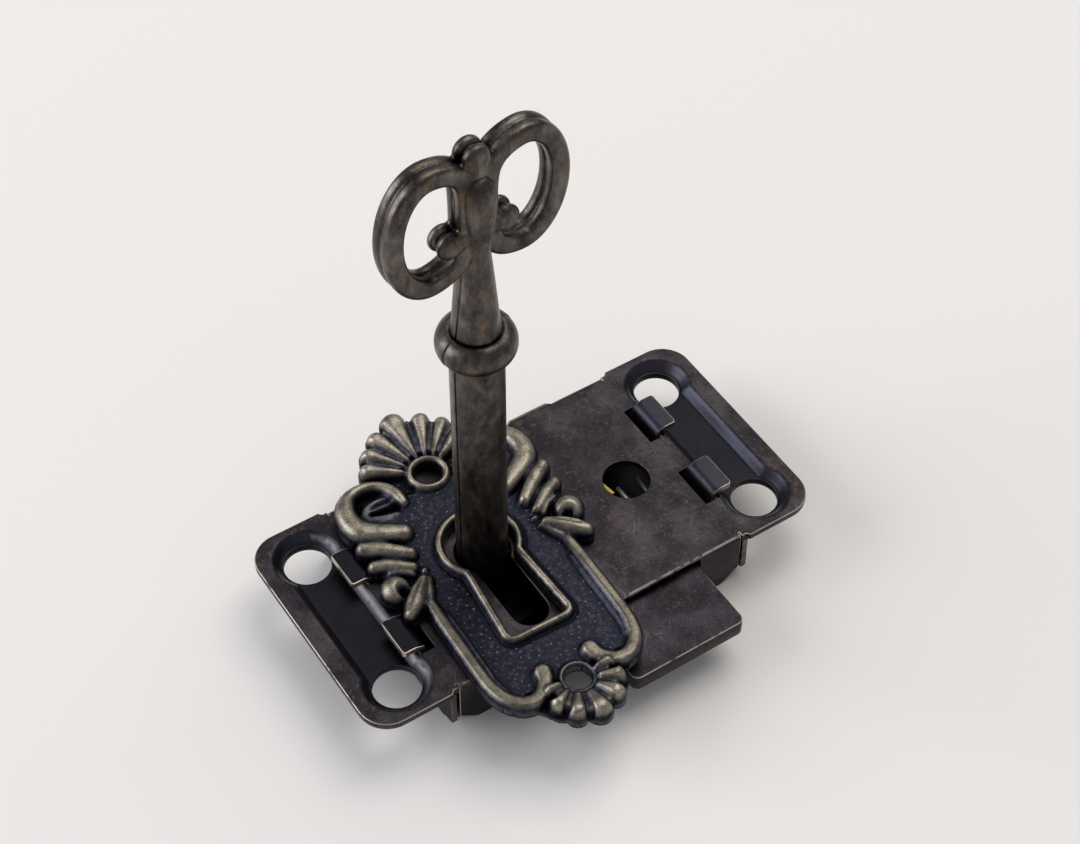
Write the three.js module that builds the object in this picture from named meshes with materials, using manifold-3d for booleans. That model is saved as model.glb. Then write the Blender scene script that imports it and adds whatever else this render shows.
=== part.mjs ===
// Cabinet box lock with a loose cast key plate and its barrel key.
// Units are millimetres. Z points out of the face plate and the origin is the middle of the back
// panel's outer face. The face plate's long axis is X. The bolt slides along Y, its head towards -Y.

import * as THREE from 'three';
import { mergeVertices } from 'three/addons/utils/BufferGeometryUtils.js';
import Module from 'manifold-3d';

const wasm = await Module();
wasm.setup();

// Fits and counts that all pieces share
const fit = 0.3;
const seat = 0.2;
const overrun = 1;
const degree = Math.PI / 180;
const fineSides = 28;
const plainSides = 16;

// Case: the face plate with its folded long walls, and the sheet that closes it
const caseDepth = 8.4;
const plate = {
  flangeLength: 11.2,
  flangeProud: 0.45,
  flangeSlope: 0.4,
  flangeSetback: 0.4,
  sheet: 1,
  corner: 4,
  wallSetback: 0.3,
  wallChamferRun: 2.5,
  wallChamferRise: 1.9,
  wallLift: 0.15,
  lugStart: 6.5,
  lugLength: 6.4,
  lugProud: 0.5,
};
const recess = {
  depth: 1.4,
  slope: 0.9,
  innerRim: 1.1,
  outerRim: 2.6,
  sideRim: 1.9,
  corner: 3.4,
};
const screwHole = { diameter: 6.1, outset: 0.25, y: 11 };
const sightHole = { diameter: 6.2, leafGap: 3, y: -0.4 };
const cover = {
  sheet: 0.9,
  wallProud: 0.05,
  cornerRelief: 1.2,
};
const tab = {
  width: 5.6,
  middle: 6.2,
  reach: 2.3,
  sheet: 0.8,
  slotGap: 1,
};

// Key: barrel, bit, collar, stem and bow
const barrel = { radius: 3.25, bore: 1.65, boreDepth: 8, foot: 2.1, shown: 36.9 };
const bit = { reach: 12.6, thickness: 2.8, topGap: 0.5, wallGap: 1.1 };
const collar = { radius: 4.8, height: 4.3 };
const stem = {
  length: 19,
  footRadius: 3,
  waistRadius: 1.9,
  waistDrop: 6.6,
  headRadius: 2.4,
  headRise: 1,
  topRadius: 1.9,
  topRise: 4.2,
};
const bow = {
  turn: 3.8,
  loopMiddle: 6,
  loopHalfWidth: 5.9,
  loopHalfHeight: 8.8,
  bandWidth: 2.1,
  thickness: 2.9,
  edgeRound: 0.4,
  grooveOverlap: 0.15,
  knobRadius: 1.55,
  knobReach: 3.9,
  knobDrop: 2.1,
  sideLobeRadius: 1.15,
  finialRadius: 1.8,
  finialRise: 8.5,
  finialLobeRadius: 1.15,
  finialLobeSpread: 1.7,
  finialLobeDrop: 1.2,
};

// Keyhole in the face plate, and the drill pin that the barrel fits over
const keyhole = { sideClearance: 1.05, endClearance: 0.7 };
const drillPin = { radius: 1.3, faceProud: 0.6, flangeRadius: 2.4, flangeHeight: 0.7 };
const tenonRadius = 1.1;

// Wards, and the springs that hold the bolt where it is put
const lowerWard = { radius: 8, wall: 1, height: 1.7 };
const upperWard = { radius: 4.3, wall: 0.8, height: 1.7, gapWidth: 5.2 };
const leaf = {
  thickness: 0.6,
  topGap: 0.6,
  width: 3.9,
  tipY: -0.4,
  bowY: 3.2,
  bowRise: 1.2,
  anchorSetback: 3.75,
  anchorRadius: 1.4,
};
const hairpin = {
  wireRadius: 0.45,
  leafGap: 3.6,
  spread: 3.1,
  bendY: -7.5,
  legTip: 2.3,
  height: 3.2,
  stopRadius: 1.3,
  stopY: -1,
  stopGap: 0.25,
};

// Bolt, and the angle in degrees through which the key draws it in
const bolt = {
  thickness: 2.4,
  topGap: 0.4,
  wardGap: 0.8,
  bodyWidth: 5.5,
  headProud: 3.6,
  projection: 10.05,
  hook: 1.5,
  tailGap: 0.45,
  tipCorner: 1,
  toeClearance: 0.4,
};
const drawAngle = 55.5;
const guide = { pinRadius: 1.2, shoulderRadius: 2.1, web: 1.6, sideWeb: 1.1 };
const restStud = { radius: 1.6, leftInset: 2.8, rightInset: 1.4, wallGap: 0.25 };

// Key plate: outline and ornament, in shares of its own reach each way from the keyhole
const shield = {
  leftOffset: 0.4,
  backOffset: 0.1,
  turn: -2,
  halfWidth: 13.4,
  crest: 24.4,
  toe: 30.4,
  field: 1.3,
  border: 2.5,
  borderWidth: 1.8,
  relief: 3,
  sink: 0.35,
  pinHoleRadius: 1.9,
  crestHole: 13.1,
  toeHole: 23.6,
  toeHoleRadius: 1.75,
  holeRimWidth: 1.1,
  tabNotchGap: 0.35,
};
const shieldHole = {
  radius: 4.5,
  neckHalf: 3.15,
  neckY: 3.4,
  footHalf: 4,
  footY: 14.6,
  corner: 0.8,
  rimWidth: 0.95,
  rimHeight: 2.1,
};

// Right half of the base outline: x as a share of the half width, y of the crest or the toe
const outlineShares = [
  [0, 0.9], [0.2, 0.86], [0.42, 0.74], [0.6, 0.64], [0.78, 0.65], [0.92, 0.56], [0.985, 0.42],
  [0.99, 0.28], [0.93, 0.12], [1, -0.02], [0.93, -0.13], [0.78, -0.2], [0.79, -0.66],
  [0.68, -0.77], [0.46, -0.83], [0.36, -0.9], [0.14, -0.95], [0, -0.96],
];
// Ridge lines of the right half: x share, y share and the ridge's half width as a share of the border
const scrollShares = [
  [0.36, 0.48, 0.45], [0.4, 0.56, 0.5], [0.53, 0.615, 0.6], [0.7, 0.61, 0.72], [0.84, 0.545, 0.8],
  [0.9, 0.45, 0.83], [0.865, 0.355, 0.83], [0.74, 0.3, 0.83], [0.61, 0.283, 0.83], [0.52, 0.276, 0.8],
];
const upperLeafShares = [[0.93, 0.27, 0.4], [0.78, 0.21, 0.56], [0.63, 0.135, 0.4]];
const lowerLeafShares = [[0.93, 0.135, 0.4], [0.77, 0.085, 0.53], [0.6, 0.025, 0.4]];
const trailLeafShares = [[0.7, -0.06, 0.4], [0.82, -0.12, 0.52], [0.94, -0.172, 0.42]];
const innerLeafShares = [[0.64, -0.07, 0.3], [0.69, -0.115, 0.38], [0.74, -0.158, 0.32]];
const borderShares = [
  [0.735, -0.17, 0.45], [0.74, -0.4, 0.47], [0.74, -0.62, 0.47], [0.67, -0.74, 0.5],
  [0.5, -0.79, 0.55], [0.33, -0.77, 0.58], [0.26, -0.73, 0.6], [0.245, -0.69, 0.62],
];
const budShares = [[0.945, -0.015, 0.92], [0.57, -0.01, 0.42]];
// Lobes of the two shells: angle from the axis, and length as a share of the middle lobe's
const crestLobeShares = [[0, 1, 1], [20, 0.88, 0.72], [39, 0.82, 0.7], [58, 0.8, 0.68], [75, 0.74, 0.62]];
const toeLobeShares = [[0, 1, 1], [28, 0.92, 0.92], [54, 0.82, 0.85]];
const crestLobeWidth = 3.4;
const toeLobeWidth = 2.9;
const ridgeEndShare = 0.7;

// The key's sweep while it draws the bolt, and the talon that the sweep needs. The bolt moves evenly as
// the key turns and the bit's corner doesn't, so the hook is set back by the corner's largest lead.
const bitStart = bow.turn * degree;
const bitEnd = bitStart + drawAngle * degree;
const throwLength = bit.reach * (Math.sin(bitEnd) - Math.sin(bitStart));
const cornerY = (turn) => bit.reach * Math.sin(turn) + (bit.thickness / 2) * Math.cos(turn);
const sweepShares = Array.from({ length: fineSides }, (_, i) => i / (fineSides - 1));
const cornerLead = Math.max(...sweepShares.map((share) => (
  cornerY(bitStart + (bitEnd - bitStart) * share) - throwLength * share)));
const hookY = cornerLead + fit;
const tailY = hookY + bolt.hook;
const shoulderY = -cornerY(bitEnd);

// Places along X, counted from the case's left wall past the key, the bolt and the springs to the right
const rootFromKey = bit.reach + bolt.toeClearance;
const bodyFromKey = rootFromKey + bolt.bodyWidth;
const leafFromKey = bodyFromKey + fit;
const outerLegFromKey = leafFromKey + hairpin.leafGap + hairpin.spread;
const stopFromKey = outerLegFromKey + hairpin.wireRadius + fit + hairpin.stopRadius;
const rightFromKey = stopFromKey + hairpin.stopRadius + hairpin.stopGap;
const insideHalf = (bit.wallGap + bit.reach + rightFromKey) / 2;
const keyAxis = bit.reach + bit.wallGap - insideHalf;
const talonRoot = keyAxis + rootFromKey;
const bodyRight = keyAxis + bodyFromKey;
const headLeft = keyAxis + upperWard.radius + upperWard.wall / 2 + bolt.wardGap;
const headRight = bodyRight + bolt.headProud;
const leafFaceX = keyAxis + leafFromKey;
const leafAnchorX = leafFaceX + leaf.bowRise + leaf.thickness / 2;
const hairpinX = keyAxis + outerLegFromKey - hairpin.spread / 2;
const hairpinStopX = keyAxis + stopFromKey;
const guideX = talonRoot + guide.sideWeb + guide.pinRadius + fit;
const guideY = tailY - guide.web - guide.pinRadius - fit;

// The case round them
const wallInner = tailY + throwLength + bolt.tailGap;
const plateSide = wallInner + plate.sheet;
const wallOuterX = insideHalf + cover.sheet;
const flangeStart = insideHalf + plate.flangeSetback;
const plateHalf = flangeStart + plate.flangeLength;
const boltTip = -plateSide - bolt.projection;
const restStudY = restStud.wallGap + restStud.radius - wallInner;
const leafAnchorY = wallInner - leaf.anchorSetback;
const tabReach = wallOuterX + tab.reach;
const shieldX = keyAxis - shield.leftOffset;
const shieldY = shield.backOffset;

// Heights
const faceUnder = caseDepth - plate.sheet;
const boltTop = faceUnder - bolt.topGap;
const boltBottom = boltTop - bolt.thickness;
const panelTop = cover.sheet;
const bitTop = faceUnder - bit.topGap;
const leafTop = faceUnder - leaf.topGap;
const leafBottom = leafTop - leaf.width;
const collarFoot = caseDepth + barrel.shown;
const collarTop = collarFoot + collar.height;
const bowMiddle = collarTop + stem.length;

// Turns a closed three.js geometry into a solid
function solidOf(geometry) {
  const plain = geometry.clone();
  plain.deleteAttribute('normal');
  plain.deleteAttribute('uv');
  const merged = mergeVertices(plain);
  const corners = [];
  for (let i = 0; i < merged.index.count; i += 3) {
    const [a, b, c] = [0, 1, 2].map((k) => merged.index.getX(i + k));
    if (a !== b && b !== c && c !== a) corners.push(a, b, c);
  }
  return new wasm.Manifold(new wasm.Mesh({
    numProp: 3,
    vertProperties: new Float32Array(merged.attributes.position.array),
    triVerts: new Uint32Array(corners),
  }));
}

// Turns a solid back into a three.js geometry
function geometryOf(solid) {
  const data = solid.getMesh();
  const geometry = new THREE.BufferGeometry();
  geometry.setAttribute('position', new THREE.BufferAttribute(new Float32Array(data.vertProperties), 3));
  geometry.setIndex(new THREE.BufferAttribute(new Uint32Array(data.triVerts), 1));
  geometry.computeVertexNormals();
  return geometry;
}

function join(solids) {
  return solids.reduce((whole, solid) => whole.add(solid));
}

// Fills the sealed pockets that grooves leave where they run into each other
function filled(solid) {
  return join(solid.decompose().filter((shellPart) => shellPart.volume() > 0));
}

function block([x0, x1], [y0, y1], [z0, z1]) {
  const geometry = new THREE.BoxGeometry(x1 - x0, y1 - y0, z1 - z0);
  return solidOf(geometry.translate((x0 + x1) / 2, (y0 + y1) / 2, (z0 + z1) / 2));
}

function rod(radius, x, y, [z0, z1], sides = plainSides) {
  const geometry = new THREE.CylinderGeometry(radius, radius, z1 - z0, sides);
  return solidOf(geometry.rotateX(Math.PI / 2).translate(x, y, (z0 + z1) / 2));
}

// A flat outline in X and Y, raised from z0 to z1
function slab(shape, [z0, z1], curveSegments = 4) {
  const geometry = new THREE.ExtrudeGeometry(shape, { depth: z1 - z0, bevelEnabled: false, curveSegments });
  return solidOf(geometry.translate(0, 0, z0));
}

// An outline drawn in X and Z, with its thickness along Y from y0 to y1
function wall(shape, [y0, y1]) {
  const geometry = new THREE.ExtrudeGeometry(shape, { depth: y1 - y0, bevelEnabled: false });
  return solidOf(geometry.rotateX(Math.PI / 2).translate(0, y1, 0));
}

// A solid turned from [radius, height] points that start and end on the axis
function turned(profile, sides = fineSides) {
  const points = profile.map(([r, z]) => new THREE.Vector2(r, z));
  return solidOf(new THREE.LatheGeometry(points, sides).rotateX(Math.PI / 2));
}

function polygon(points) {
  return new THREE.Shape(points.map(([x, y]) => new THREE.Vector2(x, y)));
}

function roundedRectangle(halfX, halfY, corner) {
  const shape = new THREE.Shape();
  const [x, y] = [halfX - corner, halfY - corner];
  shape.absarc(x, y, corner, 0, Math.PI / 2);
  shape.absarc(-x, y, corner, Math.PI / 2, Math.PI);
  shape.absarc(-x, -y, corner, Math.PI, Math.PI * 1.5);
  shape.absarc(x, -y, corner, Math.PI * 1.5, Math.PI * 2);
  return shape;
}

// A rounded rectangle whose top edge stands out past its foot by the flare
function flaredTray(halfX, halfY, corner, flare, [z0, z1]) {
  const shape = roundedRectangle(halfX, halfY, corner);
  const geometry = new THREE.ExtrudeGeometry(shape, { depth: z1 - z0, bevelEnabled: false, curveSegments: 3 });
  const place = geometry.attributes.position;
  for (let i = 0; i < place.count; i += 1) {
    if (place.getZ(i) > 0) {
      const x = place.getX(i);
      const y = place.getY(i);
      const outX = x - Math.sign(x) * (halfX - corner);
      const outY = y - Math.sign(y) * (halfY - corner);
      place.setX(i, x + (outX / corner) * flare);
      place.setY(i, y + (outY / corner) * flare);
    }
  }
  return solidOf(geometry.translate(0, 0, z0));
}

// Face plate
function faceOutline() {
  const half = plateHalf;
  const side = plateSide;
  const flange = side + plate.flangeProud;
  const jog = flangeStart + plate.flangeSlope;
  const lugEnd = plate.lugStart + plate.lugLength;
  const shape = new THREE.Shape();
  shape.absarc(half - plate.corner, flange - plate.corner, plate.corner, 0, Math.PI / 2);
  shape.lineTo(jog, flange);
  shape.lineTo(flangeStart, side);
  shape.lineTo(lugEnd, side);
  shape.lineTo(lugEnd, side + plate.lugProud);
  shape.lineTo(plate.lugStart, side + plate.lugProud);
  shape.lineTo(plate.lugStart, side);
  shape.lineTo(-flangeStart, side);
  shape.lineTo(-jog, flange);
  shape.absarc(plate.corner - half, flange - plate.corner, plate.corner, Math.PI / 2, Math.PI);
  shape.absarc(plate.corner - half, plate.corner - flange, plate.corner, Math.PI, Math.PI * 1.5);
  shape.lineTo(-jog, -flange);
  shape.lineTo(-flangeStart, -side);
  shape.lineTo(flangeStart, -side);
  shape.lineTo(jog, -flange);
  shape.absarc(half - plate.corner, plate.corner - flange, plate.corner, Math.PI * 1.5, Math.PI * 2);
  return shape;
}

// Half sizes and middle of the recess floor in one flange
function recessFloor() {
  const outer = plateHalf - recess.outerRim - recess.slope;
  const inner = flangeStart + recess.innerRim + recess.slope;
  const halfX = (outer - inner) / 2;
  const halfY = plateSide + plate.flangeProud - recess.sideRim - recess.slope;
  const corner = Math.min(recess.corner - recess.slope, halfX, halfY);
  return { middle: (inner + outer) / 2, halfX, halfY, corner };
}

function keyholeCut(z) {
  const radius = barrel.radius + fit;
  const half = bit.thickness / 2 + keyhole.sideClearance;
  const slot = new THREE.Shape();
  slot.moveTo(half, 0);
  slot.lineTo(-half, 0);
  slot.absarc(0, half - bit.reach - keyhole.endClearance, half, Math.PI, Math.PI * 2);
  return rod(radius, 0, 0, z, fineSides).add(slab(slot, z, 6)).translate([keyAxis, 0, 0]);
}

function longWall() {
  const end = insideHalf - plate.wallSetback;
  const foot = end - plate.wallChamferRun;
  const low = plate.wallLift;
  const shoulder = low + plate.wallChamferRise;
  return wall(polygon([[-end, caseDepth], [-end, shoulder], [-foot, low], [foot, low], [end, shoulder],
    [end, caseDepth]]), [wallInner, plateSide]);
}

function frontPlate() {
  const sheet = [faceUnder, caseDepth];
  const { middle, halfX, halfY, corner } = recessFloor();
  const floor = caseDepth - recess.depth;
  const skin = plate.sheet / 2;
  const solids = [slab(faceOutline(), sheet), longWall(), longWall().mirror([0, 1, 0])];
  for (const side of [-1, 1]) {
    const cup = flaredTray(halfX + skin, halfY + skin, corner + skin, recess.slope,
      [floor - plate.sheet, faceUnder + skin]);
    solids.push(cup.translate([side * middle, 0, 0]));
  }
  let body = join(solids);
  const cut = [floor - plate.sheet - overrun, caseDepth + overrun];
  for (const side of [-1, 1]) {
    body = body.subtract(flaredTray(halfX, halfY, corner, recess.slope, [floor, caseDepth])
      .translate([side * middle, 0, 0]));
    body = body.subtract(block([-halfX - recess.slope, halfX + recess.slope].map((x) => x + side * middle),
      [-halfY, halfY], [caseDepth, caseDepth + overrun]));
    for (const end of [-1, 1]) {
      const screwX = side * (middle + screwHole.outset);
      body = body.subtract(rod(screwHole.diameter / 2, screwX, end * screwHole.y, cut, fineSides));
      const slotX = [insideHalf - tab.slotGap, wallOuterX + fit].map((x) => side * x).sort((a, b) => a - b);
      const half = tab.width / 2 + fit;
      body = body.subtract(block(slotX, [end * tab.middle - half, end * tab.middle + half], cut));
    }
  }
  body = body.subtract(block([headLeft - fit, headRight + fit],
    [-plateSide - overrun, -wallInner + overrun], [boltBottom - fit, boltTop + fit]));
  const sightX = leafFaceX + sightHole.leafGap;
  body = body.subtract(rod(sightHole.diameter / 2, sightX, sightHole.y, cut, fineSides));
  return body.subtract(keyholeCut(cut));
}

// Back cover: the panel, two end walls and the four bent tabs
function coverPanel() {
  const halfX = wallOuterX;
  const halfY = wallInner - fit;
  const inset = cover.cornerRelief;
  return polygon([[-halfX + inset, -halfY], [halfX - inset, -halfY], [halfX, inset - halfY],
    [halfX, halfY - inset], [halfX - inset, halfY], [inset - halfX, halfY], [-halfX, halfY - inset],
    [-halfX, inset - halfY]]);
}

function tenonPlaces() {
  return [
    [keyAxis, 0], [guideX, guideY], [headLeft + restStud.leftInset, restStudY],
    [headRight - restStud.rightInset, restStudY], [leafAnchorX, leafAnchorY],
    [hairpinX, hairpin.bendY], [hairpinStopX, hairpin.stopY],
  ];
}

function backCover() {
  const wallTop = faceUnder - fit;
  const halfY = wallInner + cover.wallProud - cover.cornerRelief;
  const solids = [slab(coverPanel(), [0, cover.sheet])];
  for (const side of [-1, 1]) {
    const span = (from, to) => [side * from, side * to].sort((a, b) => a - b);
    const wallX = span(insideHalf, wallOuterX);
    solids.push(block(wallX, [-halfY, halfY], [0, wallTop]));
    for (const end of [-1, 1]) {
      const tabY = [end * tab.middle - tab.width / 2, end * tab.middle + tab.width / 2];
      const flat = caseDepth + fit;
      solids.push(block(wallX, tabY, [0, flat + tab.sheet]));
      solids.push(block(span(insideHalf, tabReach), tabY, [flat, flat + tab.sheet]));
    }
  }
  let body = join(solids);
  for (const [x, y] of tenonPlaces()) {
    body = body.subtract(rod(tenonRadius + fit, x, y, [-overrun, cover.sheet + overrun]));
  }
  return body;
}

// Pins and posts that stand in holes in the back panel
function tenon() {
  return rod(tenonRadius, 0, 0, [seat, panelTop + seat + overrun]);
}

function drillPinBody() {
  const flange = panelTop + seat;
  const tip = drillPin.radius / 2;
  const top = faceUnder + drillPin.faceProud;
  const pin = turned([[0, flange], [drillPin.flangeRadius, flange],
    [drillPin.flangeRadius, flange + drillPin.flangeHeight], [drillPin.radius, flange + drillPin.flangeHeight],
    [drillPin.radius, top - tip], [drillPin.radius - tip, top], [0, top]]);
  return pin.add(tenon());
}

function guidePost() {
  const shoulder = boltBottom - fit;
  return join([rod(guide.shoulderRadius, 0, 0, [panelTop + seat, shoulder]),
    rod(guide.pinRadius, 0, 0, [panelTop + seat, boltTop]), tenon()]);
}

function restStudBody() {
  return rod(restStud.radius, 0, 0, [panelTop + seat, boltBottom - fit]).add(tenon());
}

// Bolt: a wide head, a narrow body with the guide slot, and a hook at the tail. The bit works in the
// talon between them, and has thrown the bolt out when it passes the head's back edge.
function boltBody() {
  const mouth = keyAxis + bit.reach * Math.cos(bitEnd) - (bit.thickness / 2) * Math.sin(bitEnd) - fit;
  const corner = bolt.tipCorner;
  const shape = new THREE.Shape();
  shape.absarc(headLeft + corner, boltTip + corner, corner, Math.PI, Math.PI * 1.5);
  shape.absarc(headRight - corner, boltTip + corner, corner, Math.PI * 1.5, Math.PI * 2);
  shape.lineTo(headRight, shoulderY);
  shape.lineTo(bodyRight, shoulderY);
  shape.lineTo(bodyRight, tailY);
  shape.lineTo(mouth, tailY);
  shape.lineTo(mouth, hookY);
  shape.lineTo(talonRoot, hookY);
  shape.lineTo(talonRoot, shoulderY);
  shape.lineTo(headLeft, shoulderY);
  const slotHalf = guide.pinRadius + fit;
  const slot = new THREE.Path();
  slot.absarc(guideX, guideY, slotHalf, 0, Math.PI);
  slot.absarc(guideX, guideY - throwLength, slotHalf, Math.PI, Math.PI * 2);
  shape.holes.push(slot);
  return slab(shape, [boltBottom, boltTop]);
}

// Wards
function ring(radius, thickness, z) {
  const outer = rod(radius + thickness / 2, 0, 0, z, fineSides);
  return outer.subtract(rod(radius - thickness / 2, 0, 0, [z[0] - overrun, z[1] + overrun], fineSides));
}

function lowerWardRing() {
  return ring(lowerWard.radius, lowerWard.wall, [panelTop + seat, panelTop + seat + lowerWard.height]);
}

function upperWardRing() {
  const top = faceUnder - seat;
  const half = upperWard.gapWidth / 2;
  const reach = upperWard.radius + upperWard.wall + overrun;
  return ring(upperWard.radius, upperWard.wall, [top - upperWard.height, top])
    .subtract(block([-half, half], [-reach, 0], [top - upperWard.height - overrun, top + overrun]));
}

// Springs. The brass strip stands on edge: it leans from its anchor to the bolt and flares at the tip
function leafLine() {
  const rest = leafFaceX + leaf.thickness / 2;
  return [[rest + leaf.bowRise, leafAnchorY], [rest + leaf.bowRise, leafAnchorY - leaf.anchorRadius],
    [rest, leaf.bowY], [rest + leaf.bowRise / 2, leaf.tipY]];
}

function leafSpring() {
  const half = leaf.thickness / 2;
  const line = leafLine();
  const right = line.map(([x, y]) => [x + half, y]);
  const left = line.map(([x, y]) => [x - half, y]).reverse();
  return slab(polygon([...right, ...left].reverse()), [leafBottom, leafTop]);
}

function leafAnchor() {
  const slotHalf = leaf.thickness / 2 + fit;
  const reach = leaf.anchorRadius + overrun;
  const post = rod(leaf.anchorRadius, 0, 0, [panelTop + seat, leafTop]);
  return post.subtract(block([-slotHalf, slotHalf], [-reach, leaf.anchorRadius / 2],
    [leafBottom - seat, leafTop + overrun])).add(tenon());
}

function hairpinSpring() {
  const radius = hairpin.spread / 2;
  const [x, y, z] = [hairpinX, hairpin.bendY, hairpin.height];
  const path = new THREE.CurvePath();
  path.add(new THREE.LineCurve3(new THREE.Vector3(x + radius, hairpin.legTip, z),
    new THREE.Vector3(x + radius, y, z)));
  const turns = 8;
  for (let i = 0; i < turns; i += 1) {
    const [from, to] = [i, i + 1].map((k) => (-Math.PI * k) / turns);
    path.add(new THREE.LineCurve3(
      new THREE.Vector3(x + radius * Math.cos(from), y + radius * Math.sin(from), z),
      new THREE.Vector3(x + radius * Math.cos(to), y + radius * Math.sin(to), z),
    ));
  }
  path.add(new THREE.LineCurve3(new THREE.Vector3(x - radius, y, z),
    new THREE.Vector3(x - radius, hairpin.legTip, z)));
  const section = new THREE.Shape();
  section.absarc(0, 0, hairpin.wireRadius, 0, Math.PI * 2);
  const wire = new THREE.ExtrudeGeometry(section, { steps: 32, extrudePath: path, curveSegments: 4 });
  return solidOf(wire);
}

function hairpinPost() {
  const radius = hairpin.spread / 2 - hairpin.wireRadius - fit;
  return rod(radius, 0, 0, [panelTop + seat, hairpin.height + hairpin.wireRadius + seat]).add(tenon());
}

function hairpinStop() {
  const top = hairpin.height + hairpin.wireRadius + seat;
  return rod(hairpin.stopRadius, 0, 0, [panelTop + seat, top]).add(tenon());
}

// Key
function keyStem() {
  const bead = collar.height / 2;
  const waist = bowMiddle - stem.waistDrop;
  const top = bowMiddle + stem.topRise;
  const profile = [[0, barrel.foot], [barrel.radius, barrel.foot], [barrel.radius, collarFoot]];
  const steps = 6;
  for (let i = 1; i < steps; i += 1) {
    const turn = (Math.PI * i) / steps;
    profile.push([collar.radius - bead + bead * Math.sin(turn), collarFoot + bead - bead * Math.cos(turn)]);
  }
  profile.push([stem.footRadius, collarTop]);
  profile.push([stem.waistRadius, waist]);
  profile.push([stem.headRadius, bowMiddle + stem.headRise]);
  profile.push([stem.topRadius, top]);
  profile.push([0, top]);
  const bore = rod(barrel.bore, 0, 0, [barrel.foot - overrun, barrel.foot + barrel.boreDepth]);
  return turned(profile).subtract(bore);
}

// A slot in the bit, as wide as the curved ward that passes through it and the clearance
function wardSlot(ward) {
  const half = bit.thickness / 2;
  const inner = ward.radius - ward.wall / 2;
  return [Math.sqrt(inner * inner - half * half) - fit, ward.radius + ward.wall / 2 + fit];
}

function keyBit() {
  const half = bit.thickness / 2;
  const middle = (barrel.bore + barrel.radius) / 2;
  const through = [-half - overrun, half + overrun];
  const lowerTop = Math.max(panelTop + seat + lowerWard.height, barrel.foot) + fit;
  const upperFoot = faceUnder - seat - upperWard.height - fit;
  return block([middle, bit.reach], [-half, half], [barrel.foot, bitTop])
    .subtract(block(wardSlot(lowerWard), through, [barrel.foot - overrun, lowerTop]))
    .subtract(block(wardSlot(upperWard), through, [upperFoot, bitTop + overrun]));
}

// A flat piece of the bow with rounded edges and a groove round the middle of its thickness
function grooved(shape, curveSegments = 6) {
  const round = bow.edgeRound;
  const depth = bow.thickness / 2 + bow.grooveOverlap - round * 2;
  const settings = {
    depth, bevelEnabled: true, bevelThickness: round, bevelSize: round, bevelOffset: -round,
    bevelSegments: 1, curveSegments,
  };
  const leafOf = () => new THREE.ExtrudeGeometry(shape, settings).rotateX(Math.PI / 2);
  const front = solidOf(leafOf().translate(0, round + depth - bow.grooveOverlap, 0));
  const back = solidOf(leafOf().translate(0, bow.grooveOverlap - round, 0));
  return front.add(back);
}

function bowLoop(side) {
  const shape = new THREE.Shape();
  const x = side * bow.loopMiddle;
  const { loopHalfWidth, loopHalfHeight, bandWidth } = bow;
  shape.absellipse(x, bowMiddle, loopHalfWidth, loopHalfHeight, 0, Math.PI * 2);
  const hole = new THREE.Path();
  hole.absellipse(x, bowMiddle, loopHalfWidth - bandWidth, loopHalfHeight - bandWidth, 0, Math.PI * 2);
  shape.holes.push(hole);
  return grooved(shape, 14);
}

function disc(x, z, radius) {
  const shape = new THREE.Shape();
  shape.absarc(x, z, radius, 0, Math.PI * 2);
  return grooved(shape);
}

function keyBow() {
  const finialZ = bowMiddle + bow.finialRise;
  const knobZ = bowMiddle - bow.knobDrop;
  const lobe = bow.sideLobeRadius;
  const lobeX = bow.knobReach - bow.knobRadius;
  const neckFoot = bowMiddle + stem.headRise;
  const solids = [disc(0, finialZ, bow.finialRadius),
    grooved(polygon([[-lobe, neckFoot], [lobe, neckFoot], [lobe, finialZ], [-lobe, finialZ]]))];
  for (const side of [-1, 1]) {
    solids.push(bowLoop(side));
    solids.push(disc(side * bow.knobReach, knobZ, bow.knobRadius));
    solids.push(disc(side * lobeX, knobZ + lobe, lobe));
    solids.push(disc(side * lobeX, knobZ - lobe, lobe));
    solids.push(disc(side * bow.finialLobeSpread, finialZ - bow.finialLobeDrop, bow.finialLobeRadius));
  }
  return join(solids);
}

function key() {
  return filled(join([keyStem(), keyBit(), keyBow()]).rotate([0, 0, bow.turn]));
}

// Key plate
function shieldPoint([x, y], side = 1) {
  return [side * x * shield.halfWidth, y > 0 ? y * shield.crest : y * shield.toe];
}

function shieldBase() {
  const right = outlineShares.map((share) => shieldPoint(share));
  const left = outlineShares.slice(1, -1).map((share) => shieldPoint(share, -1)).reverse();
  return slab(polygon([...right, ...left].reverse()), [-overrun, shield.field]);
}

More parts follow.
